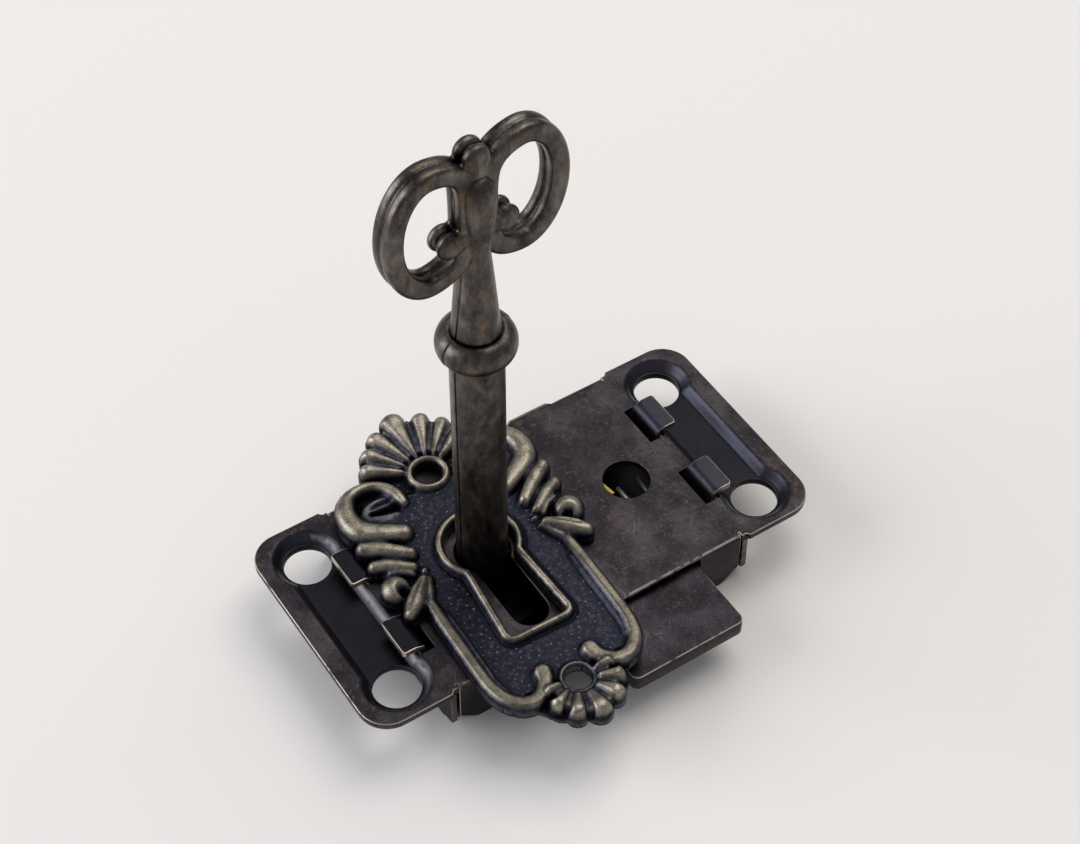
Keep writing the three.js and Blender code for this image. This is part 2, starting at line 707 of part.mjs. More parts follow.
// A round ridge that swells and tapers along its points, its middle line just under the flat back
function ridge(shares, side, height) {
  const points = shares.map((share) => new THREE.Vector3(...shieldPoint(share, side), 0));
  const curve = new THREE.CatmullRomCurve3(points);
  const steps = 4 * (shares.length - 1);
  const sides = 8;
  const vertices = [];
  const corners = [];
  const halfAt = (t) => {
    const at = t * (shares.length - 1);
    const i = Math.min(Math.floor(at), shares.length - 2);
    return (shares[i][2] + (shares[i + 1][2] - shares[i][2]) * (at - i)) * shield.borderWidth;
  };
  for (let i = 0; i <= steps; i += 1) {
    const t = i / steps;
    const middle = curve.getPoint(t);
    const along = curve.getTangent(t);
    const half = halfAt(t);
    for (let k = 0; k < sides; k += 1) {
      const turn = (2 * Math.PI * k) / sides;
      vertices.push(middle.x + along.y * half * Math.cos(turn), middle.y - along.x * half * Math.cos(turn),
        (height + shield.sink) * Math.sin(turn) - shield.sink);
    }
  }
  for (const t of [0, 1]) {
    const middle = curve.getPoint(t);
    const along = curve.getTangent(t);
    const reach = (t === 0 ? -1 : 1) * halfAt(t) * ridgeEndShare;
    vertices.push(middle.x + along.x * reach, middle.y + along.y * reach, -shield.sink);
  }
  const firstPole = (steps + 1) * sides;
  for (let k = 0; k < sides; k += 1) {
    const next = (k + 1) % sides;
    for (let i = 0; i < steps; i += 1) {
      const [a, b] = [i * sides + k, i * sides + next];
      corners.push(a, a + sides, b, b, a + sides, b + sides);
    }
    const last = steps * sides;
    corners.push(firstPole, k, next, firstPole + 1, last + next, last + k);
  }
  const geometry = new THREE.BufferGeometry();
  geometry.setAttribute('position', new THREE.BufferAttribute(new Float32Array(vertices), 3));
  geometry.setIndex(corners);
  return solidOf(geometry);
}

// A rounded lobe that points away from a shell's hole
function lobe(middleY, turn, from, to, width) {
  const length = to - from;
  const pod = new THREE.SphereGeometry(1, 8, 10).scale(width / 2, length / 2, shield.relief + shield.sink);
  pod.translate(0, from + length / 2, -shield.sink).rotateZ(-turn).translate(0, middleY, 0);
  return solidOf(pod);
}

function shell(middleY, reach, holeRadius, width, lobes, direction) {
  const pods = [];
  const start = holeRadius;
  for (const [angle, lengthShare, widthShare] of lobes) {
    const turns = angle === 0 ? [0] : [-angle, angle];
    for (const turn of turns) {
      const facing = direction > 0 ? turn * degree : Math.PI - turn * degree;
      pods.push(lobe(middleY, facing, start, reach * lengthShare, width * widthShare));
    }
  }
  return join(pods);
}

function holeRim(y, radius) {
  return rod(radius + shield.holeRimWidth, 0, y, [-overrun, shield.border], plainSides);
}

function shieldHoleShape(grow) {
  const h = shieldHole;
  const shape = new THREE.Shape();
  const radius = h.radius + grow;
  const neck = Math.atan2(h.neckY, h.neckHalf + grow);
  shape.absarc(0, 0, radius, -neck, Math.PI + neck);
  shape.lineTo(-h.neckHalf - grow, -h.neckY - grow);
  const corner = h.corner + grow;
  const foot = h.footY - h.corner;
  shape.absarc(h.corner - h.footHalf, -foot, corner, Math.PI, Math.PI * 1.5);
  shape.absarc(h.footHalf - h.corner, -foot, corner, Math.PI * 1.5, Math.PI * 2);
  shape.lineTo(h.neckHalf + grow, -h.neckY - grow);
  return shape;
}

// Room for the cover's tabs beside the key plate's left edge, in the lock's own directions
function tabRoom() {
  const rooms = [];
  const gap = shield.tabNotchGap;
  const z = [-overrun, fit + tab.sheet + gap - seat];
  for (const end of [-1, 1]) {
    const y = [end * tab.middle - tab.width / 2 - gap, end * tab.middle + tab.width / 2 + gap];
    rooms.push(block([-tabReach - gap, gap - insideHalf], y, z));
  }
  return join(rooms).translate([-shieldX, -shieldY, 0]).rotate([0, 0, -shield.turn]);
}

function keyPlate() {
  const crestReach = shield.crest - shield.crestHole;
  const toeReach = shield.toe - shield.toeHole;
  const solids = [
    shieldBase(),
    slab(shieldHoleShape(shieldHole.rimWidth), [-overrun, shieldHole.rimHeight], 6),
    shell(shield.crestHole, crestReach, shield.pinHoleRadius, crestLobeWidth, crestLobeShares, 1),
    shell(-shield.toeHole, toeReach, shield.toeHoleRadius, toeLobeWidth, toeLobeShares, -1),
    holeRim(shield.crestHole, shield.pinHoleRadius),
    holeRim(-shield.toeHole, shield.toeHoleRadius),
  ];
  for (const side of [-1, 1]) {
    solids.push(ridge(scrollShares, side, shield.relief));
    solids.push(ridge(borderShares, side, shield.border));
    for (const shares of [upperLeafShares, lowerLeafShares, trailLeafShares, innerLeafShares]) {
      solids.push(ridge(shares, side, shield.relief));
    }
    for (const share of budShares) {
      const [x, y] = shieldPoint(share, side);
      const half = share[2] * shield.borderWidth;
      const bud = new THREE.SphereGeometry(1, 10, 8).scale(half, half, shield.relief + shield.sink);
      solids.push(solidOf(bud.translate(x, y, -shield.sink)));
    }
  }
  const cut = [-overrun, shield.relief + overrun];
  const backing = block([-shield.toe, shield.toe], [-shield.toe - shield.crest, shield.toe + shield.crest],
    [-shield.relief - overrun, 0]);
  return filled(join(solids)
    .subtract(backing)
    .subtract(slab(shieldHoleShape(0), cut, 6))
    .subtract(rod(shield.pinHoleRadius, 0, shield.crestHole, cut))
    .subtract(rod(shield.toeHoleRadius, 0, -shield.toeHole, cut))
    .subtract(tabRoom()));
}

// Assembly: each piece is a named mesh, placed where it works
const finishes = {
  blackBronze: { color: 0x2b2523, roughness: 0.45, metalness: 0.8 },
  castBronze: { color: 0x4a4032, roughness: 0.5, metalness: 0.8 },
  brass: { color: 0xb9a04a, roughness: 0.35, metalness: 1 },
  steel: { color: 0x9a9a9c, roughness: 0.35, metalness: 1 },
};

function piece(name, solid, finish, place = [0, 0, 0]) {
  const mesh = new THREE.Mesh(geometryOf(solid), new THREE.MeshStandardMaterial(finishes[finish]));
  mesh.name = name;
  mesh.position.set(...place);
  return mesh;
}

const lock = new THREE.Group();

lock.add(piece('front_plate', frontPlate(), 'blackBronze'));
lock.add(piece('back_cover', backCover(), 'blackBronze'));
lock.add(piece('bolt', boltBody(), 'blackBronze'));
lock.add(piece('bolt_guide_post', guidePost(), 'steel', [guideX, guideY, 0]));
lock.add(piece('bolt_rest_stud_left', restStudBody(), 'steel', [headLeft + restStud.leftInset, restStudY, 0]));
lock.add(piece('bolt_rest_stud_right', restStudBody(), 'steel', [headRight - restStud.rightInset, restStudY, 0]));
lock.add(piece('leaf_spring', leafSpring(), 'brass'));
lock.add(piece('leaf_anchor_post', leafAnchor(), 'steel', [leafAnchorX, leafAnchorY, 0]));
lock.add(piece('hairpin_spring', hairpinSpring(), 'steel'));
lock.add(piece('hairpin_post', hairpinPost(), 'steel', [hairpinX, hairpin.bendY, 0]));
lock.add(piece('hairpin_stop', hairpinStop(), 'steel', [hairpinStopX, hairpin.stopY, 0]));

const keyGroup = new THREE.Group();
keyGroup.position.set(keyAxis, 0, 0);
keyGroup.add(piece('key', key(), 'castBronze'));
keyGroup.add(piece('drill_pin', drillPinBody(), 'steel'));
keyGroup.add(piece('lower_ward_ring', lowerWardRing(), 'steel'));
keyGroup.add(piece('upper_ward_ring', upperWardRing(), 'steel'));
lock.add(keyGroup);

const shieldGroup = new THREE.Group();
shieldGroup.position.set(shieldX, shieldY, caseDepth + seat);
shieldGroup.rotation.z = shield.turn * degree;
shieldGroup.add(piece('key_plate', keyPlate(), 'castBronze'));
lock.add(shieldGroup);

export default lock;
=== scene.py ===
"""Blender scene of a small cabinet lock: a bronzed sheet case, a loose cast key plate and a cast key.

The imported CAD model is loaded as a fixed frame, and every piece here sits where its CAD node is.
Sizes are millimetres in the frame's own directions: +Z out of the face plate, the bolt towards -Y,
the origin at the middle of the case's flat back. They turn into metres where a mesh is made.
"""

import logging
import math
from dataclasses import dataclass, field
from enum import Enum
from typing import Any, Callable, Sequence

import bmesh
import bpy
import numpy as np
from mathutils import Matrix, Vector, geometry


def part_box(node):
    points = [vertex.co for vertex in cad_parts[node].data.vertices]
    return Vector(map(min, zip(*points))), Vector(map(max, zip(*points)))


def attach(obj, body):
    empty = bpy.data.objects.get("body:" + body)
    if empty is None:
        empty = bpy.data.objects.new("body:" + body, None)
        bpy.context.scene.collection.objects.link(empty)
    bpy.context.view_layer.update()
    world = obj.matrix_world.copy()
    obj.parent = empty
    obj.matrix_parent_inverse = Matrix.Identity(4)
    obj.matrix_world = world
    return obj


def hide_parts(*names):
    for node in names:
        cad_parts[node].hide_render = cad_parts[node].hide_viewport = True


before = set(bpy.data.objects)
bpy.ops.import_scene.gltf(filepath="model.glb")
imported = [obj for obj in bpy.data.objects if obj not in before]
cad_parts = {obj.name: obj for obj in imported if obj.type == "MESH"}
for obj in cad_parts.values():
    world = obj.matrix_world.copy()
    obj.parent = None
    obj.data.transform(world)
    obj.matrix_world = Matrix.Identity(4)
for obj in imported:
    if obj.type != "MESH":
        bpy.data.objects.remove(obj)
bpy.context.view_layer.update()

MM = 0.001
QUARTER = math.pi / 2
log = logging.getLogger("cabinet_lock")

Point = tuple[float, float]
Place = Callable[[np.ndarray, np.ndarray, np.ndarray], np.ndarray]
Socket = bpy.types.NodeSocket


class Body(Enum):
    """The CAD bodies that pieces ride on."""

    CASE = "case"
    KEY = "turning_key"
    BOLT = "sliding_bolt"
    KEY_PLATE = "loose_key_plate"


class Slot(Enum):
    """The record's material slots."""

    PLATED_STEEL = "plated_steel"
    CAST_ALLOY = "cast_alloy"
    BRIGHT_STEEL = "bright_steel"


# Colours and nodes


def linear(code: str) -> tuple[float, float, float, float]:
    """Turns an sRGB hex colour into the linear one that shaders take.

    Args:
        code: The colour, such as "#8A6A50".

    Returns:
        Linear red, green, blue and an alpha of 1.
    """
    parts = [int(code[i : i + 2], 16) / 255 for i in (1, 3, 5)]
    red, green, blue = (c / 12.92 if c <= 0.04045 else ((c + 0.055) / 1.055) ** 2.4 for c in parts)
    return (red, green, blue, 1.0)


def add_node(
    tree: bpy.types.NodeTree,
    kind: str,
    settings: dict[str, Any] | None = None,
    inputs: dict[int | str, Any] | None = None,
) -> bpy.types.Node:
    """Adds a node with its settings, input values and links.

    Args:
        tree: The node tree that takes it.
        kind: The node's type name.
        settings: Properties by name. "stops" fills a colour ramp with (place, hex colour) pairs.
        inputs: Values, hex colours, or output sockets or lists of them to link from, by input.

    Returns:
        The new node.
    """
    node = tree.nodes.new(kind)
    for name, value in (settings or {}).items():
        if name != "stops":
            setattr(node, name, value)
            continue
        ramp = node.color_ramp.elements
        while len(ramp) < len(value):
            ramp.new(1.0)
        for stop, (place, code) in zip(ramp, value):
            stop.position = place
            stop.color = linear(code)
    for name, value in (inputs or {}).items():
        if isinstance(value, Socket):
            tree.links.new(value, node.inputs[name])
        elif isinstance(value, list):
            for socket in value:
                tree.links.new(socket, node.inputs[name])
        elif isinstance(value, str):
            node.inputs[name].default_value = linear(value)
        else:
            node.inputs[name].default_value = value
    return node


@dataclass
class Pattern:
    """A material's node tree, with the few steps that all finishes are made of."""

    tree: bpy.types.NodeTree

    def product(self, first: Any, *others: Any) -> Socket:
        """Multiplies sockets or numbers.

        Args:
            first: The first factor.
            *others: The others.

        Returns:
            The output socket.
        """
        for other in others:
            first = add_node(
                self.tree, "ShaderNodeMath", {"operation": "MULTIPLY"}, {0: first, 1: other}
            ).outputs[0]
        return first

    def noise(
        self, size: float, detail: float = 3, stretch: Sequence[float] = (), turn: float = 0
    ) -> Socket:
        """Noise in the piece's own space.

        Args:
            size: How wide its patches are, in millimetres.
            detail: Octaves of finer noise on top.
            stretch: Factors along x, y and z, for streaks.
            turn: How far a stretched noise is turned about Z, in radians.

        Returns:
            The output socket, from 0 to 1.
        """
        place = add_node(self.tree, "ShaderNodeTexCoord").outputs["Object"]
        if stretch:
            for setting in ({"Rotation": (0, 0, turn)}, {"Scale": tuple(1 / s for s in stretch)}):
                place = add_node(
                    self.tree, "ShaderNodeMapping", inputs={"Vector": place, **setting}
                ).outputs[0]
        values = {"Vector": place, "Scale": 1 / (size * MM), "Detail": detail, "Roughness": 0.6}
        return add_node(self.tree, "ShaderNodeTexNoise", inputs=values).outputs["Fac"]

    def between(self, value: Socket, low: float, high: float, top: float = 1) -> Socket:
        """Maps a value smoothly from a range to 0 and top.

        Args:
            value: The socket to map.
            low: What becomes 0.
            high: What becomes top.
            top: The highest result.

        Returns:
            The mapped output socket.
        """
        values = {"Value": value, "From Min": low, "From Max": high, "To Max": top}
        smooth = {"interpolation_type": "SMOOTHSTEP"}
        return add_node(self.tree, "ShaderNodeMapRange", smooth, values).outputs["Result"]

    def over(self, share: Socket, under: Socket | str, upper: Socket | str) -> Socket:
        """Lays one colour over another.

        Args:
            share: How much of the upper colour shows.
            under: The lower colour: a socket or a hex code.
            upper: The upper colour.

        Returns:
            The mixed colour's output socket.
        """
        colours = {"data_type": "RGBA"}
        return add_node(
            self.tree, "ShaderNodeMix", colours, {0: share, 6: under, 7: upper}
        ).outputs[2]

    def crease(self, reach: float, clear: float, full: float) -> Socket:
        """Tells where a surface lies in a crease of its own piece.

        Args:
            reach: How far around it looks, in millimetres.
            clear: How open a place is where nothing shows.
            full: How open a place is where the most shows.

        Returns:
            The output socket, from 0 in the open to 1 in a crease.
        """
        open_sky = add_node(
            self.tree,
            "ShaderNodeAmbientOcclusion",
            {"only_local": True, "samples": 6},
            {"Distance": reach * MM},
        )
        return self.between(open_sky.outputs["AO"], clear, full)

    def finish(
        self, colour: Socket, grain: Socket, rough: Point, bump: tuple[float, float, float] | None = None
    ) -> None:
        """Ends the tree in a metal of this colour.

        Args:
            colour: Its colour.
            grain: What its roughness follows.
            rough: The lowest and the highest roughness.
            bump: Share, depth and width in millimetres of the dents in its skin.
        """
        shine = {"Value": grain, "To Min": rough[0], "To Max": rough[1]}
        values = {
            "Metallic": 1.0,
            "Base Color": colour,
            "Roughness": add_node(self.tree, "ShaderNodeMapRange", inputs=shine).outputs[0],
        }
        if bump:
            dents = {"Strength": bump[0], "Distance": bump[1] * MM, "Height": self.noise(bump[2], 4)}
            values["Normal"] = add_node(self.tree, "ShaderNodeBump", inputs=dents).outputs[0]
        shader = add_node(self.tree, "ShaderNodeBsdfPrincipled", inputs=values)
        add_node(self.tree, "ShaderNodeOutputMaterial", inputs={"Surface": shader.outputs["BSDF"]})


# Finishes


@dataclass(frozen=True)
class Finish:
    """What all finishes share: a name, and a material that subclasses dress."""

    name: str

    def material(self) -> bpy.types.Material:
        """Makes the finish's material, on first use.

        Returns:
            The material.
        """
        made = bpy.data.materials.get(self.name)
        if made is None:
            made = bpy.data.materials.new(self.name)
            made.use_nodes = True
            made.node_tree.nodes.clear()
            self.dress(Pattern(made.node_tree))
        return made

    def dress(self, pattern: Pattern) -> None:
        """Adds the finish's own nodes to a material's empty tree."""
        raise NotImplementedError


@dataclass(frozen=True)
class BronzedSheet(Finish):
    """Rolled steel with a thin antique bronze plating, brushed and lacquered.

    It looks almost black-brown, with reddish patches where the bath was thin, fine copper-coloured
    scratches from the tumbling drum, and bare metal along the stamped edges.
    """

    dark: str = "#28262A"
    middle: str = "#403D41"
    red: str = "#54443C"
    copper: str = "#8A7061"
    # pressed: blue-black of the pressed floors; over the whole cover it is painted shade and a painted dark
    # reflection.
    pressed: str = "#1D1E23"
    # slope: a painted blue-grey sheen on the pressed floors' slopes and the cover's right end.
    slope: str = "#4D4E58"
    # edge: bare metal on worn edges, and a painted highlight on one slope of the face plate.
    edge: str = "#B0A598"

    def dress(self, pattern: Pattern) -> None:
        """Mottling, copper specks, hairline scratches, blue-black pressed floors, a painted blue-grey sheen
        on their slopes, and bright edges: bare metal where worn, and a painted highlight on one slope of the
        face plate.

        Args:
            pattern: The material's empty tree.
        """
        noise, between, over = pattern.noise, pattern.between, pattern.over
        patches, grain = noise(6.0), noise(0.8, 5)
        colour = over(between(patches, 0.34, 0.66), self.dark, self.middle)
        colour = over(between(grain, 0.46, 0.36, 0.7), colour, self.dark)
        warm = pattern.product(between(grain, 0.5, 0.7), between(noise(5.0, 2), 0.4, 0.62), 0.9)
        colour = over(warm, colour, self.red)
        colour = over(between(noise(0.32, 4), 0.56, 0.74, 0.3), colour, self.copper)
        scratches = 0.0
        for turn, width in ((0.5, 0.14), (-0.9, 0.182), (1.35, 0.161)):
            line = between(noise(width, 1, (40.0, 1.0, 6.0), turn), 0.7, 0.77)
            scratches = add_node(
                pattern.tree, "ShaderNodeMath", {"operation": "MAXIMUM"}, {0: scratches, 1: line}
            ).outputs[0]
        share = pattern.product(scratches, between(patches, 0.44, 0.64), 0.5)
        colour = over(share, colour, self.copper)
        floor, worn = (
            add_node(pattern.tree, "ShaderNodeAttribute", {"attribute_name": name}).outputs["Fac"]
            for name in ("pressed", "edge")
        )
        # Blue-black pressed floors; on the cover this is painted shade and a painted dark reflection.
        colour = over(pattern.product(floor, 0.88), colour, self.pressed)
        # Painted blue-grey sheen where the pressed share is halfway: the panels' slopes and the cover's right
        # end.
        rest = add_node(
            pattern.tree, "ShaderNodeMath", {"operation": "SUBTRACT"}, {0: 1.0, 1: floor}
        ).outputs[0]
        colour = over(pattern.product(floor, rest, 2.2), colour, self.slope)
        # Bright edge colour: bare metal where worn, and a painted highlight on one slope of the face plate.
        rim = pattern.product(between(worn, 0.35, 0.95), between(noise(2.2), 0.28, 0.48))
        pattern.finish(over(rim, colour, self.edge), grain, (0.32, 0.54), (0.3, 0.03, 0.35))


@dataclass(frozen=True)
class RubbedCasting(Finish):
    """Die-cast zinc alloy, blackened and then rubbed back with a buff.

    The black stays in every hollow and turns blue-grey on the slopes. What stands out is rubbed to
    an olive brass, and the highest rims are bright.
    """

    hollow: str = "#0E0F13"
    slope: str = "#262731"
    steel: str = "#54535A"
    brass: str = "#7F7768"
    bright: str = "#ABA291"

    def dress(self, pattern: Pattern) -> None:
        """Colour by how far the surface stands out, broken up by casting grain.

        Args:
            pattern: The material's empty tree.
        """
        noise, between, over = pattern.noise, pattern.between, pattern.over
        grain = noise(0.7, 4)
        carried = add_node(pattern.tree, "ShaderNodeAttribute", {"attribute_name": "relief"})
        relief = carried.outputs["Fac"]
        swing = add_node(pattern.tree, "ShaderNodeMath", {"operation": "ADD"}, {0: grain, 1: -0.5})
        shaken = add_node(
            pattern.tree,
            "ShaderNodeMath",
            {"operation": "MULTIPLY_ADD"},
            {0: swing.outputs[0], 1: 0.34, 2: relief},
        )
        stops = (
            (0.18, self.hollow), (0.41, self.slope), (0.54, self.steel), (0.68, self.brass),
            (0.95, self.bright),
        )
        colour = add_node(
            pattern.tree, "ShaderNodeValToRGB", {"stops": stops}, {"Fac": shaken.outputs[0]}
        ).outputs[0]
        colour = over(between(noise(0.22, 2), 0.48, 0.7, 0.6), colour, self.slope)
        stain = pattern.product(between(noise(1.9, 4), 0.46, 0.62, 0.55), relief)
        colour = over(stain, colour, self.slope)
        colour = over(pattern.crease(0.8, 0.72, 0.28), colour, self.hollow)
        pattern.finish(colour, grain, (0.34, 0.56), (0.35, 0.05, 0.6))


@dataclass(frozen=True)
class AntiqueKeyMetal(Finish):
    """Die-cast zinc alloy with an antique bronze finish, handled until it is satin.

    It is an olive brown that runs down the key in darker smoky patches, darkest in the grooves.
    """

    dark: str = "#333134"
    middle: str = "#524D49"
    light: str = "#77726C"
    brown: str = "#715A41"
    groove: str = "#0F0E0E"

    def dress(self, pattern: Pattern) -> None:
        """Smoky and brown mottling that runs along the key, black in the grooves.

        Args:
            pattern: The material's empty tree.
        """
        noise, between, over = pattern.noise, pattern.between, pattern.over
        patches = noise(1.5, 5, (1.0, 1.0, 1.8))
        stops = ((0.3, self.dark), (0.5, self.middle), (0.72, self.light))
        colour = add_node(
            pattern.tree, "ShaderNodeValToRGB", {"stops": stops}, {"Fac": patches}
        ).outputs[0]
        colour = over(between(noise(2.2, 5, (1.0, 1.0, 3.5)), 0.48, 0.7, 0.55), colour, self.groove)
        colour = over(between(noise(1.1, 4, (1.0, 1.0, 3.0)), 0.48, 0.7, 0.4), colour, self.brown)
        colour = over(between(noise(0.4, 4), 0.52, 0.72, 0.35), colour, self.light)
        colour = over(pattern.crease(1.4, 0.82, 0.35), colour, self.groove)
        pattern.finish(colour, noise(0.8), (0.26, 0.48), (0.3, 0.05, 0.45))


@dataclass(frozen=True)
class DrawnMetal(Finish):
    """Bare metal as it leaves the rolls or the lathe: one colour with faint darker streaks."""

    colour: str = "#B5B5B8"
    stain: str = "#77777B"
    rough: float = 0.28

    def dress(self, pattern: Pattern) -> None:
        """A faint stain and a roughness that follows it.

        Args:
            pattern: The material's empty tree.
        """
        streak = pattern.noise(0.4, 2, (1.0, 8.0, 1.0))
        colour = pattern.over(pattern.between(streak, 0.45, 0.75, 0.5), self.colour, self.stain)
        pattern.finish(colour, streak, (self.rough - 0.06, self.rough + 0.12))


PLATE_SHEET = BronzedSheet("bronze_plated_rolled_steel")
BOLT_SHEET = BronzedSheet("bronze_plated_bolt_steel", dark="#232125", middle="#38343A", red="#463A36")
# The cover takes the pressed blue-black all over as painted shade and a painted dark reflection, with a
# painted blue sheen at its right end.
COVER_SHEET = BronzedSheet("bronze_plated_cover_steel", edge="#D6C8B8")
RUBBED_CASTING = RubbedCasting("blackened_rubbed_zinc_casting")
# The specks' pale neutral grey is rubbed metal and a painted glint, as if they caught the lamp.
SPECK_POINTS_PAINTED_GLINT = RubbedCasting("stipple_points_rubbed_and_painted_glint", slope="#33343C", brass="#62636B", bright="#9A9AA0")
KEY_METAL = AntiqueKeyMetal("antique_bronzed_zinc_casting")
SPRING_BRASS = DrawnMetal("rolled_spring_brass", "#96863C", "#564B22", 0.4)
BRIGHT_STEEL = DrawnMetal("bright_turned_steel", "#D9DADD", "#8E8E92", 0.45)
DULL_STEEL = DrawnMetal("phosphated_turned_steel", "#1E1E20", "#111113", 0.5)


# Meshes


def new_piece(
    name: str,
    points: np.ndarray,
    faces: Sequence[Sequence[int]],
    finish: Finish,
    sharp: float = 40,
    **numbers: np.ndarray,
) -> bpy.types.Object:
    """Makes a piece from points in millimetres.

    Args:
        name: The piece's name.
        points: An array of n by 3.
        faces: Corners of each face, anticlockwise from outside.
        finish: Its finish.
        sharp: The angle in degrees from which an edge is drawn sharp.
        **numbers: One number per point, by attribute name, for the finish to read.

    Returns:
        The new object.
    """
    mesh = bpy.data.meshes.new(name)
    mesh.from_pydata((np.asarray(points) * MM).tolist(), [], [list(f) for f in faces])
    mesh.validate()
    for label, values in numbers.items():
        add_numbers(mesh, label, values)
    mesh.shade_smooth()
    mesh.set_sharp_from_angle(angle=math.radians(sharp))
    mesh.materials.append(finish.material())
    return new_object(name, mesh)


def add_numbers(mesh: bpy.types.Mesh, label: str, values: np.ndarray) -> None:
    """Gives a mesh one number per point, for a finish to read by its label."""
    layer = mesh.attributes.new(label, "FLOAT", "POINT")
    layer.data.foreach_set("value", np.asarray(values, np.float32))


def new_object(name: str, data: bpy.types.ID) -> bpy.types.Object:
    """Puts a mesh, lamp or camera in the scene as an object.

    Args:
        name: The object's name.
        data: The mesh, lamp or camera.

    Returns:
        The new object.
    """
    piece = bpy.data.objects.new(name, data)
    bpy.context.scene.collection.objects.link(piece)
    return piece


def coordinates(mesh: bpy.types.Mesh) -> np.ndarray:
    """Reads a mesh's points in millimetres.

    Args:
        mesh: The mesh.

    Returns:
        An array of n by 3.
    """
    flat = np.empty(len(mesh.vertices) * 3)
    mesh.vertices.foreach_get("co", flat)
    return flat.reshape(-1, 3) / MM


def settle(piece: bpy.types.Object, body: Body, slot: Slot, *replaces: str) -> None:
    """Puts a finished piece on its body, hides the CAD nodes that it stands for, and reports it.

    Args:
        piece: The finished piece.
        body: The CAD body that it rides on.
        slot: Not used.
        *replaces: CAD nodes that it stands for.
    """
    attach(piece, body.value)
    if replaces:
        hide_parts(*replaces)
    log.info("%s: %d faces on %s", piece.name, len(piece.data.polygons), body.value)


def dress_node(node: str, finish: Finish) -> None:
    """Gives a carried-over CAD node its finish.

    Args:
        node: The node's name.
        finish: The finish.
    """
    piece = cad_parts[node]
    piece.data.materials.clear()
    piece.data.materials.append(finish.material())
    log.info("%s: CAD node in %s", node, finish.name)


def evaluated(piece: bpy.types.Object, name: str) -> bpy.types.Object:
    """Turns a piece with live modifiers into a plain one.

    Args:
        piece: The source, which is removed.
        name: The new piece's name.

    Returns:
        The plain piece.
    """
    graph = bpy.context.evaluated_depsgraph_get()
    mesh = bpy.data.meshes.new_from_object(piece.evaluated_get(graph))
    bpy.data.objects.remove(piece)
    mesh.name = name
    return new_object(name, mesh)


def weld(piece: bpy.types.Object) -> None:
    """Merges a piece's doubled points, and turns its faces outwards.

    Args:
        piece: The piece.
    """
    work = bmesh.new()
    work.from_mesh(piece.data)
    bmesh.ops.remove_doubles(work, verts=work.verts, dist=1e-7)
    bmesh.ops.dissolve_degenerate(work, edges=work.edges, dist=1e-9)
    bmesh.ops.recalc_face_normals(work, faces=work.faces)
    work.to_mesh(piece.data)
    work.free()


def join_pieces(name: str, parts: Sequence[bpy.types.Object], finish: Finish) -> bpy.types.Object:
    """Puts several pieces' meshes in one piece.

    Args:
        name: The new piece's name.
        parts: The pieces, which are removed.
        finish: Its finish.

    Returns:
        The joined piece.
    """
    points, faces, first = [], [], 0
    for part in parts:
        points.append(coordinates(part.data))
        faces += [tuple(first + v for v in polygon.vertices) for polygon in part.data.polygons]
        first += len(points[-1])
        bpy.data.objects.remove(part)
    return new_piece(name, np.concatenate(points), faces, finish)


def smooth_step(value: Any) -> Any:
    """Returns a soft step from 0 to 1, of a number or an array."""
    share = np.clip(value, 0, 1)
    return share * share * (3 - 2 * share)


def turned_about(points: np.ndarray, turn: float, middle: Point) -> np.ndarray:
    """Turns points about Z and moves them.

    Args:
        points: An array of n by 3.
        turn: The angle in degrees.
        middle: The move along X and Y.

    Returns:
        The new points.
    """
    a = math.radians(turn)
    x = points[:, 0] * math.cos(a) - points[:, 1] * math.sin(a) + middle[0]
    y = points[:, 0] * math.sin(a) + points[:, 1] * math.cos(a) + middle[1]
    return np.stack([x, y, points[:, 2]], 1)


# Sheet metal


def stepped(points: Sequence[Point], step: float) -> np.ndarray:
    """Cuts a closed outline's sides into steps, and keeps its corners.

    Args:
        points: The corners.
        step: The longest step.

    Returns:
        An array of n by 2.
    """
    out = []
    for a, b in zip(np.array(points), np.roll(points, -1, 0)):
        cuts = max(1, math.ceil(math.hypot(*(b - a)) / step))
        out += [a + (b - a) * i / cuts for i in range(cuts)]
    return np.array(out)


def arc(middle: Point, radius: float, start: float, end: float, steps: int = 8) -> list[Point]:
    """Points on an arc.

    Args:
        middle: Its centre.
        radius: Its radius.
        start: The first angle in degrees.
        end: The last angle in degrees.
        steps: How many steps it takes.

    Returns:
        The points, both ends included.
    """
    turns = [math.radians(start + (end - start) * i / steps) for i in range(steps + 1)]
    return [(middle[0] + radius * math.cos(t), middle[1] + radius * math.sin(t)) for t in turns]


def row_points(xs: Sequence[float], ys: Sequence[float]) -> list[Point]:
    """Returns every crossing of the given columns and rows."""
    return [(float(x), float(y)) for x in xs for y in ys]


def both(values: Sequence[float]) -> list[float]:
    """Returns the values, each with its negative."""
    return [side * value for value in values for side in (-1, 1)]


def inside(loops: Sequence[np.ndarray], points: np.ndarray) -> np.ndarray:
    """Tells which points lie in the material that closed loops bound.

    Args:
        loops: The outline and the holes.
        points: An array of n by 2.

    Returns:
        A truth value for each point.
    """
    within = np.zeros(len(points), bool)
    for loop in loops:
        for (x0, y0), (x1, y1) in zip(loop, np.roll(loop, -1, 0)):
            if y0 == y1:
                continue
            crosses = (points[:, 1] >= min(y0, y1)) & (points[:, 1] < max(y0, y1))
            x = x0 + (points[:, 1] - y0) * (x1 - x0) / (y1 - y0)
            within ^= crosses & (points[:, 0] < x)
    return within


